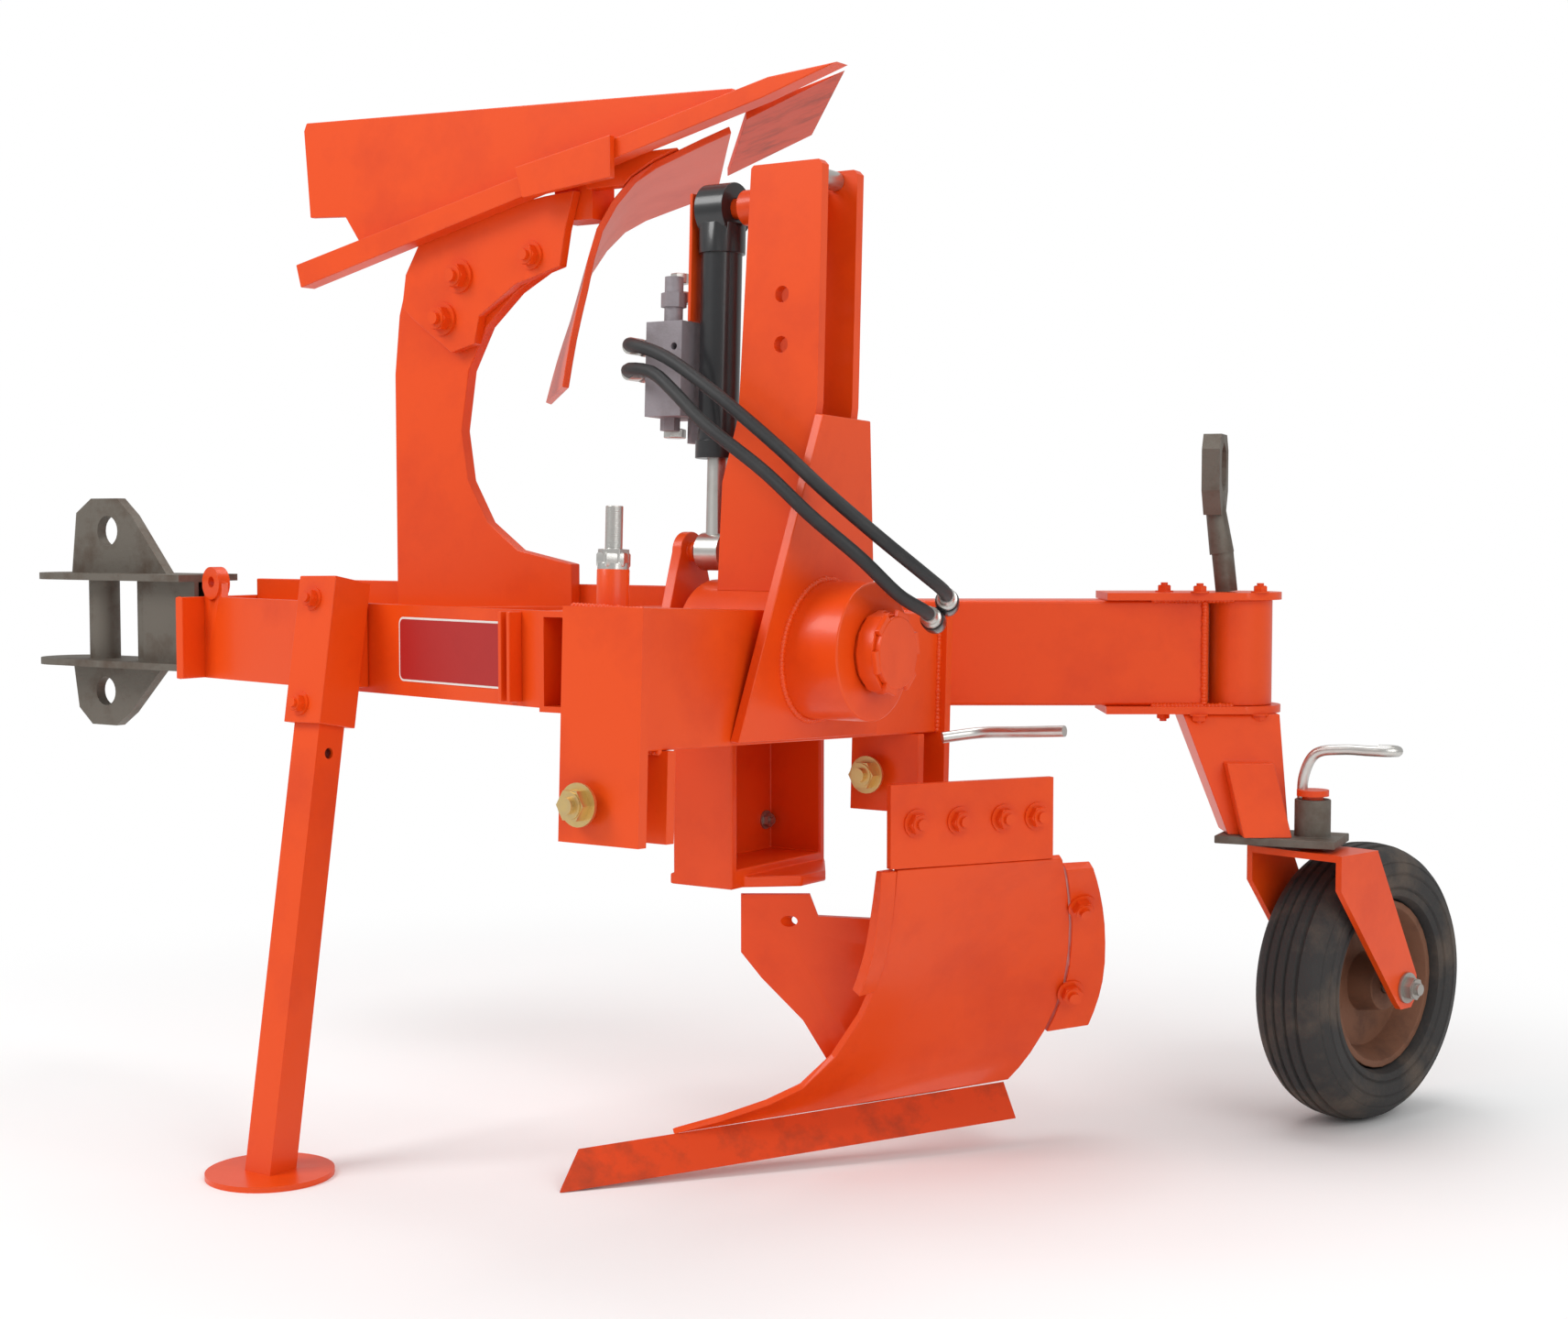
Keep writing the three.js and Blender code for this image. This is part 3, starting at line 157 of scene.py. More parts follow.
def finish(name, clean, worn, wear, patch, grain, rough, spread=0.15, metallic=0.0, coat=0.0, bump=0.05, gloss=0.5):
    """A material of the weathered surface: clean and worn colours, how much wear, patch and grain scales."""
    m = bpy.data.materials.new(name)
    m.use_nodes = True
    tree = m.node_tree
    shader = tree.nodes["Principled BSDF"]
    surface = tree.nodes.new("ShaderNodeGroup")
    surface.node_tree = SURFACE
    surface.inputs["Clean Colour"].default_value = (*clean, 1)
    surface.inputs["Worn Colour"].default_value = (*worn, 1)
    surface.inputs["Patch Scale"].default_value = patch
    surface.inputs["Wear"].default_value = wear
    surface.inputs["Grain Scale"].default_value = grain
    surface.inputs["Roughness"].default_value = rough
    surface.inputs["Roughness Spread"].default_value = spread
    height = tree.nodes.new("ShaderNodeBump")
    height.inputs["Strength"].default_value = bump
    height.inputs["Distance"].default_value = GRAIN_DEPTH
    link = tree.links.new
    link(surface.outputs["Colour"], shader.inputs["Base Color"])
    link(surface.outputs["Roughness"], shader.inputs["Roughness"])
    link(surface.outputs["Height"], height.inputs["Height"])
    link(height.outputs["Normal"], shader.inputs["Normal"])
    shader.inputs["Metallic"].default_value = metallic
    shader.inputs["Coat Weight"].default_value = coat
    shader.inputs["Specular IOR Level"].default_value = gloss
    shader.inputs["Coat Roughness"].default_value = COAT_ROUGHNESS
    return m


PAINT = finish("orange red paint", (0.80, 0.072, 0.004), (0.62, 0.040, 0.003), wear=0.55, patch=6, grain=220,
               rough=0.30, spread=0.14, coat=0.12, gloss=0.32)
SHARE_PAINT = finish("scuffed share paint", (0.70, 0.060, 0.006), (0.26, 0.035, 0.012), wear=0.75, patch=14, grain=260,
                     rough=0.4, spread=0.2, gloss=0.35)
RAW = finish("raw grey brown steel", (0.17, 0.15, 0.125), (0.10, 0.065, 0.045), wear=0.8, patch=18, grain=180,
             rough=0.5, spread=0.2, metallic=0.55, bump=0.2)
ZINC = finish("yellow zinc", (0.72, 0.52, 0.22), (0.55, 0.42, 0.25), wear=0.6, patch=30, grain=400,
              rough=0.25, metallic=0.9)
BRIGHT = finish("bright steel", (0.62, 0.61, 0.58), (0.45, 0.42, 0.38), wear=0.5, patch=22, grain=400,
                rough=0.22, spread=0.2, metallic=0.95)
BOLT = finish("dull bolt steel", (0.42, 0.40, 0.37), (0.25, 0.20, 0.16), wear=0.5, patch=40, grain=400,
              rough=0.35, spread=0.2, metallic=0.85)
HOSE = finish("black hose rubber", (0.016, 0.016, 0.017), (0.05, 0.048, 0.045), wear=0.3, patch=30, grain=500,
              rough=0.45, spread=0.2, bump=0.1)
TYRE = finish("worn tyre rubber", (0.030, 0.028, 0.027), (0.13, 0.095, 0.07), wear=0.75, patch=9, grain=260,
              rough=0.65, spread=0.25, bump=0.25)
RIM = finish("rusty rim", (0.20, 0.085, 0.045), (0.10, 0.045, 0.028), wear=0.8, patch=20, grain=300,
             rough=0.6, spread=0.2, metallic=0.25, bump=0.2)
BLACK = finish("black cylinder paint", (0.012, 0.013, 0.015), (0.03, 0.03, 0.03), wear=0.4, patch=14, grain=300,
               rough=0.25, coat=0.3)
VALVE = finish("grey valve casting", (0.30, 0.27, 0.29), (0.18, 0.15, 0.15), wear=0.5, patch=30, grain=300,
               rough=0.5, spread=0.2, metallic=0.3, bump=0.2)
PANEL = finish("dark red panel", (0.42, 0.012, 0.010), (0.36, 0.010, 0.010), wear=0.3, patch=20, grain=300, rough=0.35)
OUTLINE = finish("white outline", (0.80, 0.76, 0.72), (0.7, 0.62, 0.58), wear=0.4, patch=40, grain=300, rough=0.45)

# Every CAD node is painted unless it is named here.
LOOK = {
    "link_pin_near": ZINC, "link_pin_far": ZINC,
    "rear_bracket": RAW, "lifting_eye": RAW, "wheel_plate": RAW,
    "lower_share": SHARE_PAINT, "upper_share": SHARE_PAINT,
    "mast_top_pin": BRIGHT, "stop_screw": BRIGHT, "cylinder_rod": BRIGHT, "wheel_axle": BRIGHT,
    "cylinder_barrel": BLACK, "wheel_rim": RIM, "valve_block": VALVE,
}
BODY = {node: body for body, nodes in frame["record"]["behaviour"]["bodies"].items() for node in nodes}


def link_piece(name, mesh, material, body):
    """A piece of that mesh on the body; with no material given, the mesh keeps its own."""
    made = bpy.data.objects.new(name, mesh)
    bpy.context.collection.objects.link(made)
    if material:
        mesh.materials.clear()
        mesh.materials.append(material)
    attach(made, body)
    return made


# ---------- plates, bars and castings with broken edges ----------
MADE_ANEW = {"hose_upper", "hose_lower", "tyre"}
PLATE_EDGE = 0.0016
EDGE = {
    "lower_share": 0.0012, "upper_share": 0.0012, "valve_block": 0.0015, "rear_bracket": 0.002,
    "hub_tube": 0.003, "lifting_eye": 0.003, "lower_tower": 0.004, "front_cross_member": 0.004,
    "side_beam": 0.006, "cross_beam": 0.006,
}
for name, node in list(frame["nodes"].items()):
    if name in MADE_ANEW:
        continue
    shape = bmesh.new()
    shape.from_mesh(node.data)
    shape.transform(node.matrix_world)
    bmesh.ops.remove_doubles(shape, verts=shape.verts, dist=2e-5)
    bmesh.ops.dissolve_limit(shape, angle_limit=math.radians(1.0), verts=shape.verts, edges=shape.edges)
    mesh = bpy.data.meshes.new(name + "_finished")
    shape.to_mesh(mesh)
    shape.free()
    mesh.shade_smooth()
    mesh.set_sharp_from_angle(angle=math.radians(32))
    piece = link_piece(name + "_finished", mesh, LOOK.get(name, PAINT), BODY[name])
    bevel = piece.modifiers.new("broken edges", "BEVEL")
    bevel.width = EDGE.get(name, PLATE_EDGE)
    bevel.segments = 2
    bevel.limit_method = "ANGLE"
    bevel.angle_limit = math.radians(40)
    bevel.harden_normals = True
    bevel.use_clamp_overlap = True
    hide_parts(name)


# ---------- bolts ----------
def bolt_maker():
    """Geometry Nodes: a hex head on a washer at each point, along its axis, as wide as its size."""
    tree = bpy.data.node_groups.new("hex bolts", "GeometryNodeTree")
    face = tree.interface
    face.new_socket("Geometry", in_out="INPUT", socket_type="NodeSocketGeometry")
    face.new_socket("Finish", in_out="INPUT", socket_type="NodeSocketMaterial")
    face.new_socket("Geometry", in_out="OUTPUT", socket_type="NodeSocketGeometry")
    make, link = tree.nodes.new, tree.links.new
    given, made = make("NodeGroupInput"), make("NodeGroupOutput")

    def cylinder(sides, radius, depth, lift):
        """Sizes in shares of the head's half width; lift is the middle's height."""
        c = make("GeometryNodeMeshCylinder")
        c.inputs["Vertices"].default_value = sides
        c.inputs["Radius"].default_value = radius
        c.inputs["Depth"].default_value = depth
        move = make("GeometryNodeTransform")
        move.inputs["Translation"].default_value = (0, 0, lift)
        link(c.outputs["Mesh"], move.inputs["Geometry"])
        return move.outputs["Geometry"]

    joined = make("GeometryNodeJoinGeometry")
    washer, hexagon = (28, 1.3, 0.2, 0.1), (6, 1.0, 0.7, 0.55)
    crown, stud_end = (24, 0.82, 0.1, 0.94), (16, 0.5, 0.5, 1.1)
    for part in (washer, hexagon, crown, stud_end):
        link(cylinder(*part), joined.inputs["Geometry"])
    along, size = make("GeometryNodeInputNamedAttribute"), make("GeometryNodeInputNamedAttribute")
    along.data_type, size.data_type = "FLOAT_VECTOR", "FLOAT"
    along.inputs["Name"].default_value, size.inputs["Name"].default_value = "axis", "size"
    turn = make("FunctionNodeAlignRotationToVector")
    turn.axis = "Z"
    link(along.outputs["Attribute"], turn.inputs["Vector"])
    place = make("GeometryNodeInstanceOnPoints")
    link(given.outputs["Geometry"], place.inputs["Points"])
    link(joined.outputs["Geometry"], place.inputs["Instance"])
    link(turn.outputs["Rotation"], place.inputs["Rotation"])
    link(size.outputs["Attribute"], place.inputs["Scale"])
    real, look = make("GeometryNodeRealizeInstances"), make("GeometryNodeSetMaterial")
    link(place.outputs["Instances"], real.inputs["Geometry"])
    link(real.outputs["Geometry"], look.inputs["Geometry"])
    link(given.outputs["Finish"], look.inputs["Material"])
    link(look.outputs["Geometry"], made.inputs["Geometry"])
    return tree


def bead_maker():
    """Geometry Nodes: overlapping drops of weld metal along each edge of a line."""
    tree = bpy.data.node_groups.new("weld bead", "GeometryNodeTree")
    face = tree.interface
    face.new_socket("Geometry", in_out="INPUT", socket_type="NodeSocketGeometry")
    face.new_socket("Finish", in_out="INPUT", socket_type="NodeSocketMaterial")
    face.new_socket("Bead Radius", in_out="INPUT", socket_type="NodeSocketFloat").default_value = 0.004
    face.new_socket("Ripple", in_out="INPUT", socket_type="NodeSocketFloat").default_value = 0.005
    face.new_socket("Geometry", in_out="OUTPUT", socket_type="NodeSocketGeometry")
    make, link = tree.nodes.new, tree.links.new
    given, made = make("NodeGroupInput"), make("NodeGroupOutput")
    line, steps = make("GeometryNodeMeshToCurve"), make("GeometryNodeResampleCurve")
    steps.mode = "LENGTH"
    drop = make("GeometryNodeMeshIcoSphere")
    drop.inputs["Subdivisions"].default_value = 2
    place = make("GeometryNodeInstanceOnPoints")
    uneven = make("FunctionNodeRandomValue")
    uneven.inputs[2].default_value, uneven.inputs[3].default_value = 0.85, 1.12
    uneven.inputs["Seed"].default_value = 7
    scale = make("ShaderNodeMath")
    scale.operation = "MULTIPLY"
    link(given.outputs["Geometry"], line.inputs["Mesh"])
    link(line.outputs["Curve"], steps.inputs["Curve"])
    link(given.outputs["Ripple"], steps.inputs["Length"])
    link(given.outputs["Bead Radius"], scale.inputs[0])
    link(uneven.outputs[1], scale.inputs[1])
    link(steps.outputs["Curve"], place.inputs["Points"])
    link(drop.outputs["Mesh"], place.inputs["Instance"])
    link(scale.outputs[0], place.inputs["Scale"])
    real, smooth = make("GeometryNodeRealizeInstances"), make("GeometryNodeSetShadeSmooth")
    look = make("GeometryNodeSetMaterial")
    link(place.outputs["Instances"], real.inputs["Geometry"])
    link(real.outputs["Geometry"], smooth.inputs["Geometry"])
    link(smooth.outputs["Geometry"], look.inputs["Geometry"])
    link(given.outputs["Finish"], look.inputs["Material"])
    link(look.outputs["Geometry"], made.inputs["Geometry"])
    return tree


BOLTS, BEAD = bolt_maker(), bead_maker()


def socket(tree, name):
    """The identifier of the tree's named input."""
    inputs = (s for s in tree.interface.items_tree if s.item_type == "SOCKET" and s.in_out == "INPUT")
    return next(s.identifier for s in inputs if s.name == name)


def grown(name, mesh, tree, values, body):
    """Runs the tree on the mesh, keeps the result as a plain piece on the body."""
    seed = bpy.data.objects.new(name + "_seed", mesh)
    bpy.context.collection.objects.link(seed)
    modifier = seed.modifiers.new(tree.name, "NODES")
    modifier.node_group = tree
    for key, value in values.items():
        modifier[socket(tree, key)] = value
    made = bpy.data.meshes.new_from_object(seed.evaluated_get(bpy.context.evaluated_depsgraph_get()))
    bpy.data.objects.remove(seed)
    made.name = name
    piece = link_piece(name, made, None, body)
    return piece


def bolts(name, rows, material, body):
    """A bolt for each row of place, way out and the head's half width."""
    mesh = bpy.data.meshes.new(name + "_points")
    mesh.from_pydata([tuple(place) for place, out, half in rows], [], [])
    mesh.attributes.new("axis", "FLOAT_VECTOR", "POINT")
    mesh.attributes.new("size", "FLOAT", "POINT")
    mesh.attributes["axis"].data.foreach_set("vector", [c for place, out, half in rows for c in out])
    mesh.attributes["size"].data.foreach_set("value", [half for place, out, half in rows])
    return grown(name, mesh, BOLTS, {"Finish": material}, body)


def welds(name, lines, body, radius):
    """Painted weld beads along the lines."""
    points, edges = [], []
    for line in lines:
        first = len(points)
        points += [tuple(p) for p in line]
        edges += [(first + i, first + i + 1) for i in range(len(line) - 1)]
    mesh = bpy.data.meshes.new(name + "_line")
    mesh.from_pydata(points, edges, [])
    return grown(name, mesh, BEAD, {"Finish": PAINT, "Bead Radius": radius, "Ripple": radius * 1.1}, body)


def turned(name, profile, centre, axis, material, body, steps=64):
    """A closed shape turned about an axis: profile of (radius, along)."""
    axis = Vector(axis).normalized()
    u = axis.orthogonal().normalized()
    v = axis.cross(u)
    angles = [2 * math.pi * i / steps for i in range(steps)]
    shape = bmesh.new()
    rings = []
    for r, a in profile:
        middle = centre + axis * a
        spots = [middle + r * (math.cos(t) * u + math.sin(t) * v) for t in angles] if r > 1e-6 else [middle]
        rings.append([shape.verts.new(spot) for spot in spots])
    pairs = list(zip(rings, rings[1:]))
    if len(rings[0]) > 1:
        pairs.append((rings[-1], rings[0]))
    for a, b in pairs:
        for i in range(steps):
            j = (i + 1) % steps
            corners = [a[i % len(a)], a[j % len(a)], b[j % len(b)], b[i % len(b)]]
            corners = [c for k, c in enumerate(corners) if c not in corners[:k]]
            if len(corners) > 2:
                shape.faces.new(corners)
    bmesh.ops.recalc_face_normals(shape, faces=shape.faces)
    mesh = bpy.data.meshes.new(name)
    shape.to_mesh(mesh)
    shape.free()
    mesh.shade_smooth()
    mesh.set_sharp_from_angle(angle=math.radians(35))
    piece = link_piece(name, mesh, material, body)
    return piece


# ---------- gauge wheel ----------
# Half of the tyre's outline as (radius, half width), from the bead round the shoulder to the ribbed tread's middle.
TYRE_SIDE = [
    (0.132, 0.046), (0.137, 0.056), (0.146, 0.059), (0.149, 0.0565), (0.152, 0.0595), (0.168, 0.0615),
    (0.171, 0.0595), (0.174, 0.0612), (0.186, 0.0575), (0.188, 0.0555), (0.190, 0.0562), (0.198, 0.050),
    (0.205, 0.041), (0.2095, 0.031), (0.2065, 0.0285), (0.2065, 0.0255), (0.2118, 0.0230), (0.2132, 0.0125),
    (0.2095, 0.0105), (0.2095, 0.0075), (0.2138, 0.0055),
]
tyre_outline = TYRE_SIDE + [(r, -a) for r, a in reversed(TYRE_SIDE)]
tyre = turned("tyre_moulded", tyre_outline, WHEEL_AT, AXLE, TYRE, "wheel", 128)
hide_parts("tyre")


# ---------- hoses ----------
def between(a, b, t, low, high):
    """From a at low to b at high."""
    return a * ((high - t) / (high - low)) + b * ((t - low) / (high - low))


def rope(points, count):
    """Evenly spread points on the smooth curve through the given ones (centripetal Catmull-Rom), and its length."""
    ends = [points[0] * 2 - points[1], *points, points[-1] * 2 - points[-2]]
    steps = 24
    fine = []
    for i in range(1, len(ends) - 2):
        p = ends[i - 1:i + 3]
        t = [0.0]
        for a, b in zip(p, p[1:]):
            t.append(t[-1] + max((b - a).length, 1e-6) ** 0.5)
        for k in range(steps):
            now = t[1] + (t[2] - t[1]) * k / steps
            a1, a2, a3 = (between(p[j], p[j + 1], now, t[j], t[j + 1]) for j in range(3))
            b1, b2 = between(a1, a2, now, t[0], t[2]), between(a2, a3, now, t[1], t[3])
            fine.append(between(b1, b2, now, t[1], t[2]))
    fine.append(points[-1])
    run = [0.0]
    for a, b in zip(fine, fine[1:]):
        run.append(run[-1] + (b - a).length)
    even, j = [], 0
    for i in range(count):
        goal = run[-1] * i / (count - 1)
        while j < len(run) - 2 and run[j + 1] < goal:
            j += 1
        part = (goal - run[j]) / max(run[j + 1] - run[j], 1e-9)
        even.append(fine[j].lerp(fine[j + 1], min(1, part)))
    return even, run[-1]


def round_line(name, points, radius, roundness):
    """A curve object through the points, as thick as the radius says, with closed ends."""
    line = bpy.data.curves.new(name, "CURVE")
    line.dimensions = "3D"
    line.bevel_depth, line.bevel_resolution, line.use_fill_caps = radius, roundness, True
    spline = line.splines.new("POLY")
    spline.points.add(len(points) - 1)
    for place, p in zip(spline.points, points):
        place.co = (*p, 1)
    spline.use_smooth = True
    made = bpy.data.objects.new(name, line)
    bpy.context.collection.objects.link(made)
    return made


# Routes from the valve's elbows, in millimetres on the headstock.
HOSES = {
    "upper": [
        (-176, -33.6, 1162), (-176, -52, 1162), (-154, -78, 1160), (-84, -98, 1140), (8, -110, 1088), (108, -102, 1014),
        (178, -94, 956), (240, -60, 898), (262, 10, 856), (254, 84, 832), (232, 128, 823),
    ],
    "lower": [
        (-176, -33.6, 1126), (-176, -54, 1126), (-150, -84, 1126), (-96, -104, 1117), (-50, -116, 1088),
        (4, -124, 1046), (100, -118, 980), (168, -112, 924), (226, -84, 872), (240, -10, 826), (236, 64, 806),
        (218, 110, 798),
    ],
}
HOSE_R = 0.009
# Turned fittings as (radius, distance along the hose).
FERRULE = [(0, -0.030), (0.0105, -0.030), (0.0112, -0.028), (0.0112, -0.002), (0.0140, -0.001), (0.0140, 0.012),
           (0.0100, 0.014), (0, 0.014)]
DUST_CAP = [(0, 0.013), (0.0155, 0.013), (0.0165, 0.016), (0.0165, 0.044), (0.0150, 0.056), (0.0100, 0.062), (0, 0.064)]
CRIMP = [(0, -0.001), (0.0112, -0.001), (0.0118, 0.001), (0.0118, 0.020), (0.0108, 0.023), (0, 0.023)]
for name, route in HOSES.items():
    points, length = rope([head(*p) for p in route], 40)
    hose = round_line("hose_" + name + "_rubber", points, HOSE_R, 6)
    hose.data.materials.append(HOSE)
    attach(hose, "headstock")
    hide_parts("hose_" + name)
    tip, tip_way = points[-1], (points[-1] - points[-3]).normalized()
    exit_way = (points[1] - points[0]).normalized()
    ferrule = turned(f"hose_{name}_ferrule", FERRULE, tip, tip_way, BRIGHT, "headstock", 32)
    cap = turned(f"hose_{name}_dust_cap", DUST_CAP, tip, tip_way, BLACK, "headstock", 40)
    crimp = turned(f"hose_{name}_crimp", CRIMP, points[0], exit_way, BRIGHT, "headstock", 32)


# ---------- where small pieces land ----------
def shell(node):
    """The node's surface, to cast lines at."""
    data = frame["nodes"][node].data
    return BVHTree.FromPolygons([v.co.copy() for v in data.vertices], [tuple(f.vertices) for f in data.polygons])


def land(node, start, way):
    """Where a straight line first meets a node, and the face's way out."""
    place, out, _, _ = shell(node).ray_cast(Vector(start), Vector(way).normalized())
    if place is None:
        raise ValueError("nothing to land on: " + node)
    return place, out if out.dot(Vector(way)) < 0 else -out


def rounded(half_long, half_high, corner):
    """A rectangle's outline with quarter circles for corners."""
    return [
        (sx * (half_long - corner) + corner * math.cos(q), sz * (half_high - corner) + corner * math.sin(q))
        for sx, sz, first in ((1, 1, 0), (-1, 1, 90), (-1, -1, 180), (1, -1, 270))
        for q in (math.radians(first + 15 * k) for k in range(7))
    ]


def slab(name, centre, along, up, size, material, body, edge=0.0015, corner=0.0):
    """A plate: size along, across and up, with broken edges, or with round corners in its own plane."""
    along, up = Vector(along).normalized(), Vector(up).normalized()
    across = up.cross(along).normalized()
    l, t, h = (v / 2 for v in size)
    outline = rounded(l, h, corner) if corner else [(-l, -h), (l, -h), (l, h), (-l, h)]
    shape = bmesh.new()
    low = [shape.verts.new(Vector(centre) + along * a - across * t + up * b) for a, b in outline]
    high = [shape.verts.new(Vector(centre) + along * a + across * t + up * b) for a, b in outline]
    shape.faces.new(low)
    shape.faces.new(high[::-1])
    for i in range(len(low)):
        j = (i + 1) % len(low)
        shape.faces.new((low[j], low[i], high[i], high[j]))
    bmesh.ops.recalc_face_normals(shape, faces=shape.faces)
    mesh = bpy.data.meshes.new(name)
    shape.to_mesh(mesh)
    shape.free()
    piece = link_piece(name, mesh, material, body)
    if edge:
        bevel = piece.modifiers.new("broken edges", "BEVEL")
        bevel.width, bevel.segments, bevel.limit_method = edge, 2, "ANGLE"
    return piece


def bent_rod(name, route, radius, steps=60):
    """A bright round bar on the frame, bent along a smooth route, with closed ends."""
    points, _ = rope([at(*p) for p in route], steps)
    held = round_line(name, points, radius, 5)
    mesh = bpy.data.meshes.new_from_object(held.evaluated_get(bpy.context.evaluated_depsgraph_get()))
    bpy.data.objects.remove(held)
    mesh.name = name
    mesh.shade_smooth()
    mesh.set_sharp_from_angle(angle=math.radians(50))
    piece = link_piece(name, mesh, BRIGHT, "frame")
    return piece


# ---------- weld beads ----------
BEAM_TOP, BEAM_BOTTOM, BEAM_FRONT, BEAM_BACK, BEAM_END = 803, 628, 88, -17, 357  # cross beam, in millimetres
HUB_WELD_R = 93.5
FRONT_OF_ALL = 400
hub_ring = [
    land("pedestal_plate", head(FRONT_OF_ALL, HUB_WELD_R * math.cos(t), HUB_MM + HUB_WELD_R * math.sin(t)), BACK)[0]
    for t in (2 * math.pi * k / 64 for k in range(65))
]
beam_ends = [
    [head(BEAM_FRONT, y, z) for z in (BEAM_BOTTOM + 4, 700, BEAM_TOP - 4)] + [head(BEAM_BACK, y, BEAM_TOP)]
    for y in (-BEAM_END, BEAM_END)
]
bracket_foot = [head(x, -51, BEAM_TOP + 1) for x in (-14, 96)]
clevis_top = [head(x, -BEAM_END + 44, BEAM_BOTTOM - 1) for x in (0, 84)]
welds("headstock_welds", [hub_ring, *beam_ends, bracket_foot, clevis_top], "headstock", 0.0052)

KNUCKLE = at(354, 835, 0)  # the wheel arm's pivot
side_way = Vector((0.829, 0.559, 0)).normalized()
side_out = Vector((side_way.y, -side_way.x, 0))
side_low, side_high = (corner[2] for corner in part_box("side_beam"))
probe = KNUCKLE - side_way * 0.30 + UP * 0.72
side_face, _ = land("side_beam", probe + side_out, -side_out)
weld_face = side_out * ((side_face - probe).dot(side_out) + 0.001)
end_weld = KNUCKLE - side_way * 0.062 + weld_face
seams = [
    [KNUCKLE - side_way * back + weld_face + UP * z for back in (0.14, 0.02)]
    for z in (side_high + 0.0005, side_low - 0.0005)
]
rear_corner = Vector(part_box("rear_frame_plate")[0])
welds("frame_welds", [
    [end_weld + UP * z for z in (side_low + 0.004, side_high - 0.004)],
    *seams,
    [rear_corner + Vector((-0.001, 0.010, z)) for z in (0.004, 0.126)],
], "frame", 0.0050)

SHARE_POINT, SHARE_WING = at(-215, -153, 0), at(198, 401, 45)
SHARE_BACK = Vector((-0.042, 0.030, 0.3))  # from the cutting edge to above the share's back edge
share_line = [
    land("lower_share", SHARE_POINT.lerp(SHARE_WING, part / 20) + SHARE_BACK, DOWN)[0] for part in range(2, 20)
]
welds("share_weld", [share_line], "frame", 0.0056)

# ---------- bolts ----------
frame_bolts = []


def frame_bolt(node, start, way, half):
    frame_bolts.append((*land(node, start, way), half))


for x, z, half in ((-565, 1290, 0.019), (-599, 1228, 0.019), (-425, 1312, 0.016)):
    frame_bolt("upper_frog", at(x, -900, z), FAR, half)

plate_low, plate_high = (Vector(corner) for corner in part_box("lower_extension_plate"))
plate_run = (plate_high - plate_low) * Vector((1, 1, 0))
plate_way = plate_run.normalized()
plate_out = Vector((plate_way.y, -plate_way.x, 0))
for part in (0.17, 0.42, 0.68, 0.88):
    start = plate_low + UP * 0.062 + plate_run * part + plate_out * 0.4
    frame_bolt("lower_extension_plate", start, -plate_out, 0.0155)

tail_low, tail_high = (Vector(corner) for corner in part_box("lower_tail_piece"))
tail_middle = (tail_low + tail_high) / 2
for z, along in ((tail_low.z + 0.06, 0.02), (tail_high.z - 0.07, 0.0)):
    start = Vector((tail_middle.x, tail_middle.y, z)) + plate_way * along + plate_out * 0.6
    frame_bolt("lower_tail_piece", start, -plate_out, 0.016)

for x, y in ((262, 760), (330, 742), (405, 800)):
    frame_bolt("knuckle_top_plate", at(x, y, 2000), DOWN, 0.011)
    frame_bolt("knuckle_bottom_plate", at(x, y, -1000), UP, 0.011)

sleeve_low, sleeve_high = (Vector(corner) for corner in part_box("leg_sleeve"))
for lift in (0.85, 0.18):
    x, _, z = (low + (high - low) * part for low, high, part in zip(sleeve_low, sleeve_high, (0.45, 0, lift)))
    frame_bolt("leg_sleeve", (x, sleeve_low.y - 0.5, z), FAR, 0.013)
bolts("frame_bolts", frame_bolts, PAINT, "frame")

tower_rows = [(*land("lower_tower", at(FRONT_OF_ALL, y, z), BACK), 0.011) for y in (116, 308) for z in (640, 470)]
bolts("tower_bolts", tower_rows, BOLT, "frame")


def pin_head(node, sink, lift):
    """A row for a head on the pin's near end, sunk in and lifted a little."""
    low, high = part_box(node)
    return Vector(((low[0] + high[0]) / 2, low[1] + sink, (low[2] + high[2]) / 2 + lift)), head_way(*NEAR), 0.021


pin_rows = [pin_head("link_pin_near", 0.001, -0.002), pin_head("link_pin_far", -0.0005, 0.002)]
bolts("link_pin_heads", pin_rows, ZINC, "headstock")
AXLE_HALF = 0.0845
bolts("axle_nuts", [(WHEEL_AT + way * AXLE_HALF, way, 0.018) for way in (AXLE, -AXLE)], BOLT, "wheel")

# ---------- stop screw: painted boss, nut and threaded stud ----------
stud_at, stud_way = head(-2, -300, BEAM_TOP), head_way(*UP)
BOSS = [(0, 0.0005), (0.0205, 0.0005), (0.0205, 0.046), (0.0185, 0.049), (0, 0.049)]
NUT = [(0, 0.0495), (0.0200, 0.0495), (0.0215, 0.0515), (0.0215, 0.0655), (0.0200, 0.0675), (0, 0.0675)]
THREADS, PITCH = 22, 0.0026
thread = [(0, 0.068)]
for k in range(THREADS):
    thread += [(0.0098, 0.068 + PITCH * k), (0.0112, 0.068 + PITCH * (k + 0.5))]
thread += [(0.0095, 0.1255), (0, 0.1262)]
boss = turned("stop_screw_boss", BOSS, stud_at, stud_way, PAINT, "headstock", 40)
turned("stop_screw_nut", NUT, stud_at, stud_way, BRIGHT, "headstock", 6)
turned("stop_screw_stud", thread, stud_at, stud_way, BRIGHT, "headstock", 32)
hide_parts("stop_screw")

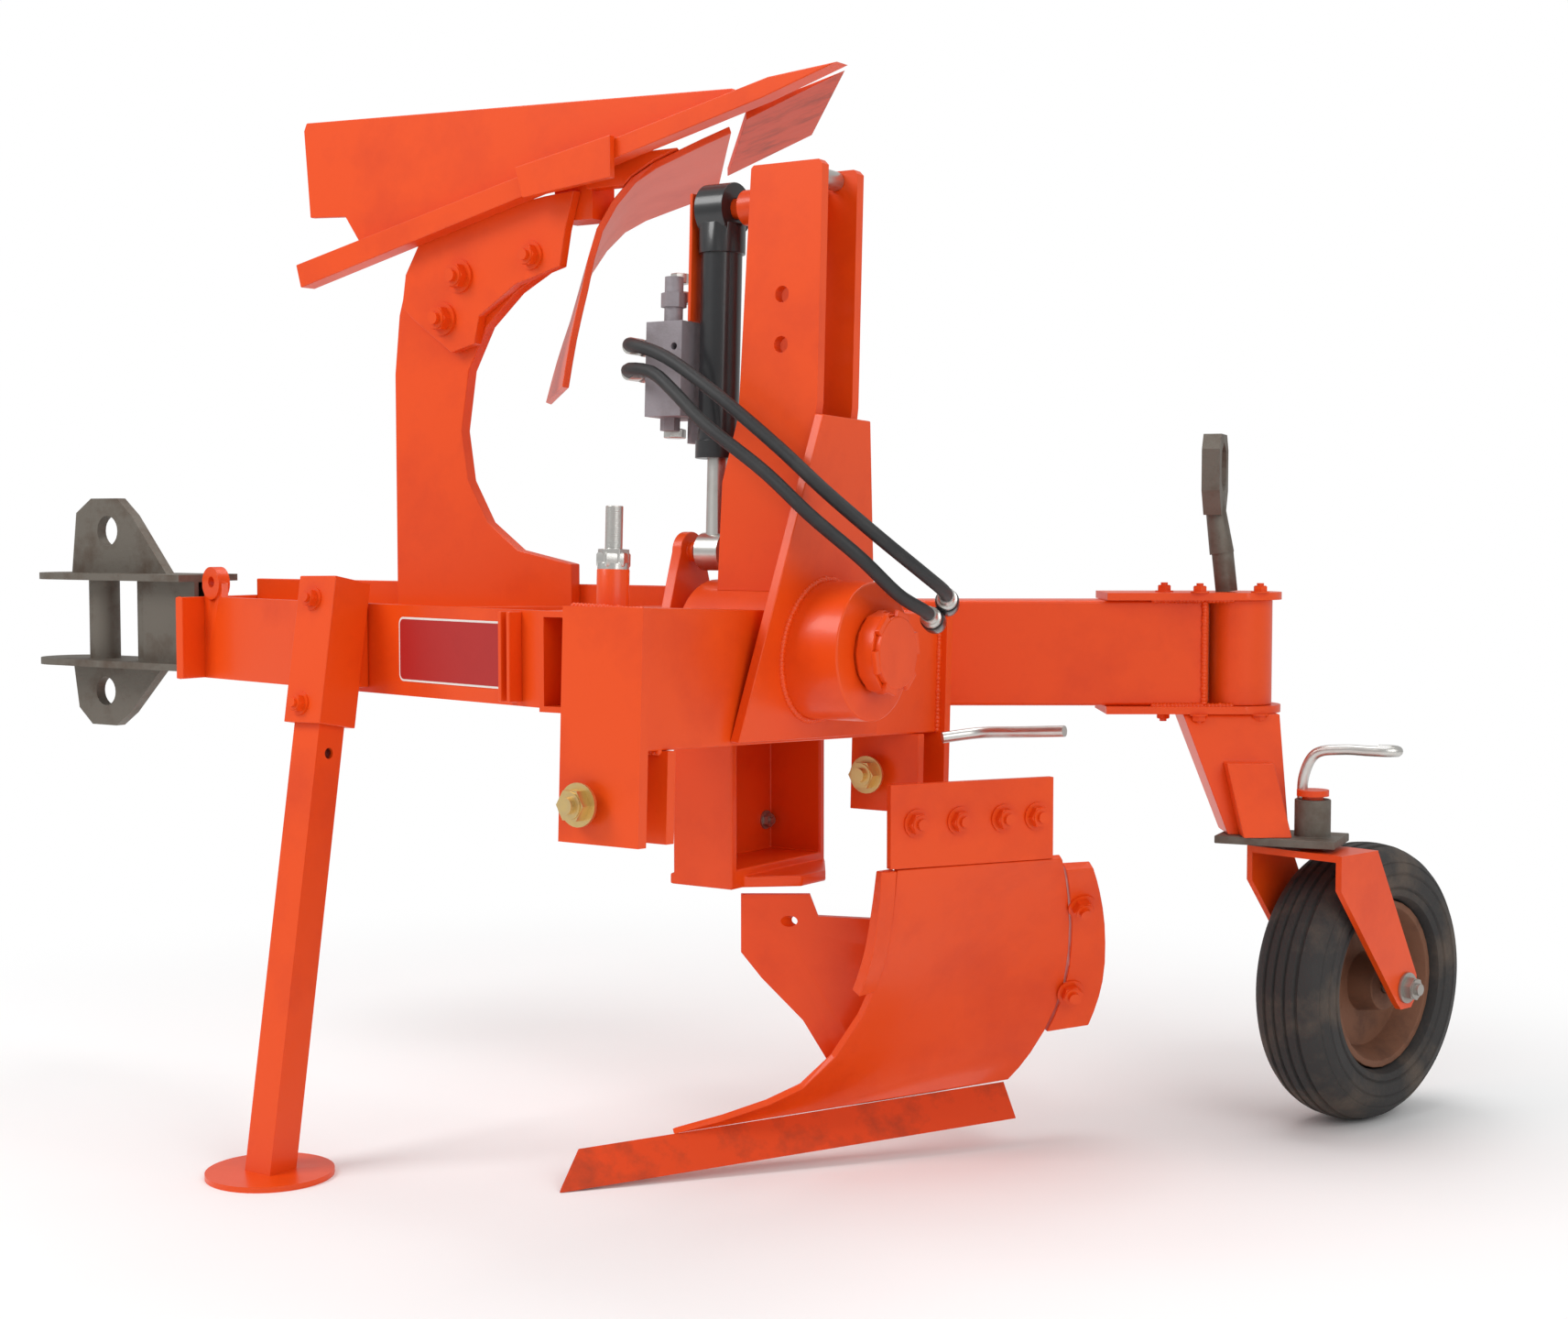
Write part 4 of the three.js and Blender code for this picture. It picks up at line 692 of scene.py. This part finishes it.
# ---------- castle nut on the shaft's end ----------
nut_face = Vector((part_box("shaft_nut")[1][0], ORIGIN.y, HUB_Z))
TOOTH_R, TOOTH_SIZE = 0.0495, (0.030, 0.007, 0.010)
for k in range(6):
    angle = math.radians(60 * k + 12)
    out = Vector((0, math.cos(angle), math.sin(angle)))
    round_way = Vector((0, -out.z, out.y))
    tooth_at = nut_face + out * TOOTH_R + Vector((0.0035, 0, 0))
    slab(f"castle_tooth_{k}", tooth_at, round_way, out, TOOTH_SIZE, PAINT, "frame", 0.0012)


# ---------- fittings on the valve ----------
def hex_fitting(name, centre, way, r, long, swell):
    """A bright six-sided fitting with a small bevel at each end."""
    wide = r * swell
    profile = [(0, 0), (r, 0), (wide, 0.001), (wide, long - 0.001), (r, long), (0, long)]
    turned(name, profile, centre, way, BRIGHT, "headstock", 6)


COLLARS = [
    (-176, -20, 1162, NEAR, 0.0125, 0.012), (-176, -20, 1126, NEAR, 0.0125, 0.012),
    (-166, -6, 1162, -BACK, 0.0140, 0.018), (-166, -6, 1126, -BACK, 0.0140, 0.018),
]
for k, (x, y, z, way, r, long) in enumerate(COLLARS):
    hex_fitting(f"valve_collar_{k}", head(x, y, z), head_way(*way), r, long, 1.06)

valve_low, valve_high = (Vector(corner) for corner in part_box("valve_block"))
valve_size = valve_high - valve_low
# (share of the valve's width, share of its height, half width, length)
HEXES = [(0.62, 0.845, 0.0155, 0.016), (0.62, 0.965, 0.0125, 0.014), (0.5, 0.035, 0.0145, 0.013)]
for k, (across, up, r, long) in enumerate(HEXES):
    centre = valve_low + valve_size * Vector((across, 0.5, up))
    hex_fitting(f"valve_hex_{k}", centre, head_way(*UP), r, long, 1.08)


# ---------- blank panel on the near bar ----------
def on_near_bar(x):
    return land("near_frame_bar", at(x, -900, 740), FAR)


panel_from, bar_out = on_near_bar(-520)
panel_to, _ = on_near_bar(-275)
panel_run = panel_to - panel_from
panel_way, panel_at, width = panel_run.normalized(), (panel_from + panel_to) / 2, panel_run.length
PANEL_HIGH, BORDER = 0.092, 0.003
slab("blank_outline", panel_at + bar_out * 0.0006, panel_way, UP, (width, 0.001, PANEL_HIGH),
     OUTLINE, "frame", 0, 0.010)
slab("blank_panel", panel_at + bar_out * 0.0012, panel_way, UP, (width - 2 * BORDER, 0.001, PANEL_HIGH - 2 * BORDER),
     PANEL, "frame", 0, 0.008)
for k, x in enumerate((-262, -244)):
    place, out = on_near_bar(x)
    slab(f"flange_rib_{k}", place + out * 0.011, out, UP, (0.022, 0.007, 0.122), PAINT, "frame")

# ---------- locking handles ----------
bent_rod("wheel_lock_handle", [
    (500, 742, 486), (502, 742, 540), (520, 742, 574), (560, 744, 582), (600, 748, 582), (626, 752, 582),
    (638, 764, 582), (628, 776, 582), (606, 774, 582),
], 0.008)
bent_rod("body_lock_handle", [(150, 262, 616), (190, 300, 622), (250, 300, 626), (324, 300, 631)], 0.008, 30)

# ---------- floor and light ----------
FADE_STARTS, FADE_ENDS = 1.0, 2.1  # how far from the middle the floor turns plain white to the eye
FLOOR_HALF = 30
floor = bpy.data.materials.new("pale floor")
floor.use_nodes = True
tree = floor.node_tree
floor_shader = tree.nodes["Principled BSDF"]
floor_shader.inputs["Base Color"].default_value = (0.92, 0.92, 0.92, 1)
floor_shader.inputs["Roughness"].default_value = 0.95
floor_shader.inputs["Specular IOR Level"].default_value = 0.1
where = tree.nodes.new("ShaderNodeTexCoord")
round_spot = tree.nodes.new("ShaderNodeVectorMath")
round_spot.operation = "LENGTH"
fade = tree.nodes.new("ShaderNodeMapRange")
fade.interpolation_type = "SMOOTHERSTEP"
fade.inputs["From Min"].default_value, fade.inputs["From Max"].default_value = FADE_STARTS, FADE_ENDS
glow = tree.nodes.new("ShaderNodeEmission")
glow.inputs["Color"].default_value = (1, 1, 1, 1)
seen = tree.nodes.new("ShaderNodeLightPath")
both = tree.nodes.new("ShaderNodeMath")
both.operation = "MULTIPLY"
mix = tree.nodes.new("ShaderNodeMixShader")
tree.links.new(where.outputs["Object"], round_spot.inputs[0])
tree.links.new(round_spot.outputs["Value"], fade.inputs["Value"])
tree.links.new(fade.outputs["Result"], both.inputs[0])
tree.links.new(seen.outputs["Is Camera Ray"], both.inputs[1])
tree.links.new(both.outputs[0], mix.inputs["Fac"])
tree.links.new(floor_shader.outputs["BSDF"], mix.inputs[1])
tree.links.new(glow.outputs["Emission"], mix.inputs[2])
tree.links.new(mix.outputs["Shader"], tree.nodes["Material Output"].inputs["Surface"])
plane = bpy.data.meshes.new("floor")
corners = [(x * FLOOR_HALF, y * FLOOR_HALF, 0) for x, y in ((-1, -1), (1, -1), (1, 1), (-1, 1))]
plane.from_pydata(corners, [], [(0, 1, 2, 3)])
plane.materials.append(floor)
ground = bpy.data.objects.new("floor", plane)
bpy.context.collection.objects.link(ground)

SKY_LIGHT, SKY_SEEN = 0.55, 1.0
world = bpy.data.worlds.new("studio")
bpy.context.scene.world = world
world.use_nodes = True
sky = world.node_tree
background = sky.nodes["Background"]
path = sky.nodes.new("ShaderNodeLightPath")
either = sky.nodes.new("ShaderNodeMath")
either.operation = "MAXIMUM"
strength = sky.nodes.new("ShaderNodeMapRange")
strength.inputs["To Min"].default_value, strength.inputs["To Max"].default_value = SKY_LIGHT, SKY_SEEN
sky.links.new(path.outputs["Is Camera Ray"], either.inputs[0])
sky.links.new(path.outputs["Is Transmission Ray"], either.inputs[1])
sky.links.new(either.outputs[0], strength.inputs["Value"])
sky.links.new(strength.outputs["Result"], background.inputs["Strength"])
background.inputs["Color"].default_value = (1, 1, 1, 1)


def lamp(name, place, target, power, size):
    """A square lamp aimed at the target."""
    light = bpy.data.lights.new(name, "AREA")
    light.energy, light.size = power, size
    held = bpy.data.objects.new(name, light)
    held.location = place
    held.rotation_euler = (Vector(target) - Vector(place)).to_track_quat("-Z", "Y").to_euler()
    bpy.context.collection.objects.link(held)


lamp("key", (-2.5, -4.0, 4.5), (0, 0, 0.7), 150, 2.5)
lamp("fill", (4.5, -2.0, 3.0), (0, 0, 0.7), 70, 3.0)
lamp("top", (0, 1.0, 5.0), (0, 0, 0.5), 80, 3.0)

scene = bpy.context.scene
scene.view_settings.view_transform = "Standard"
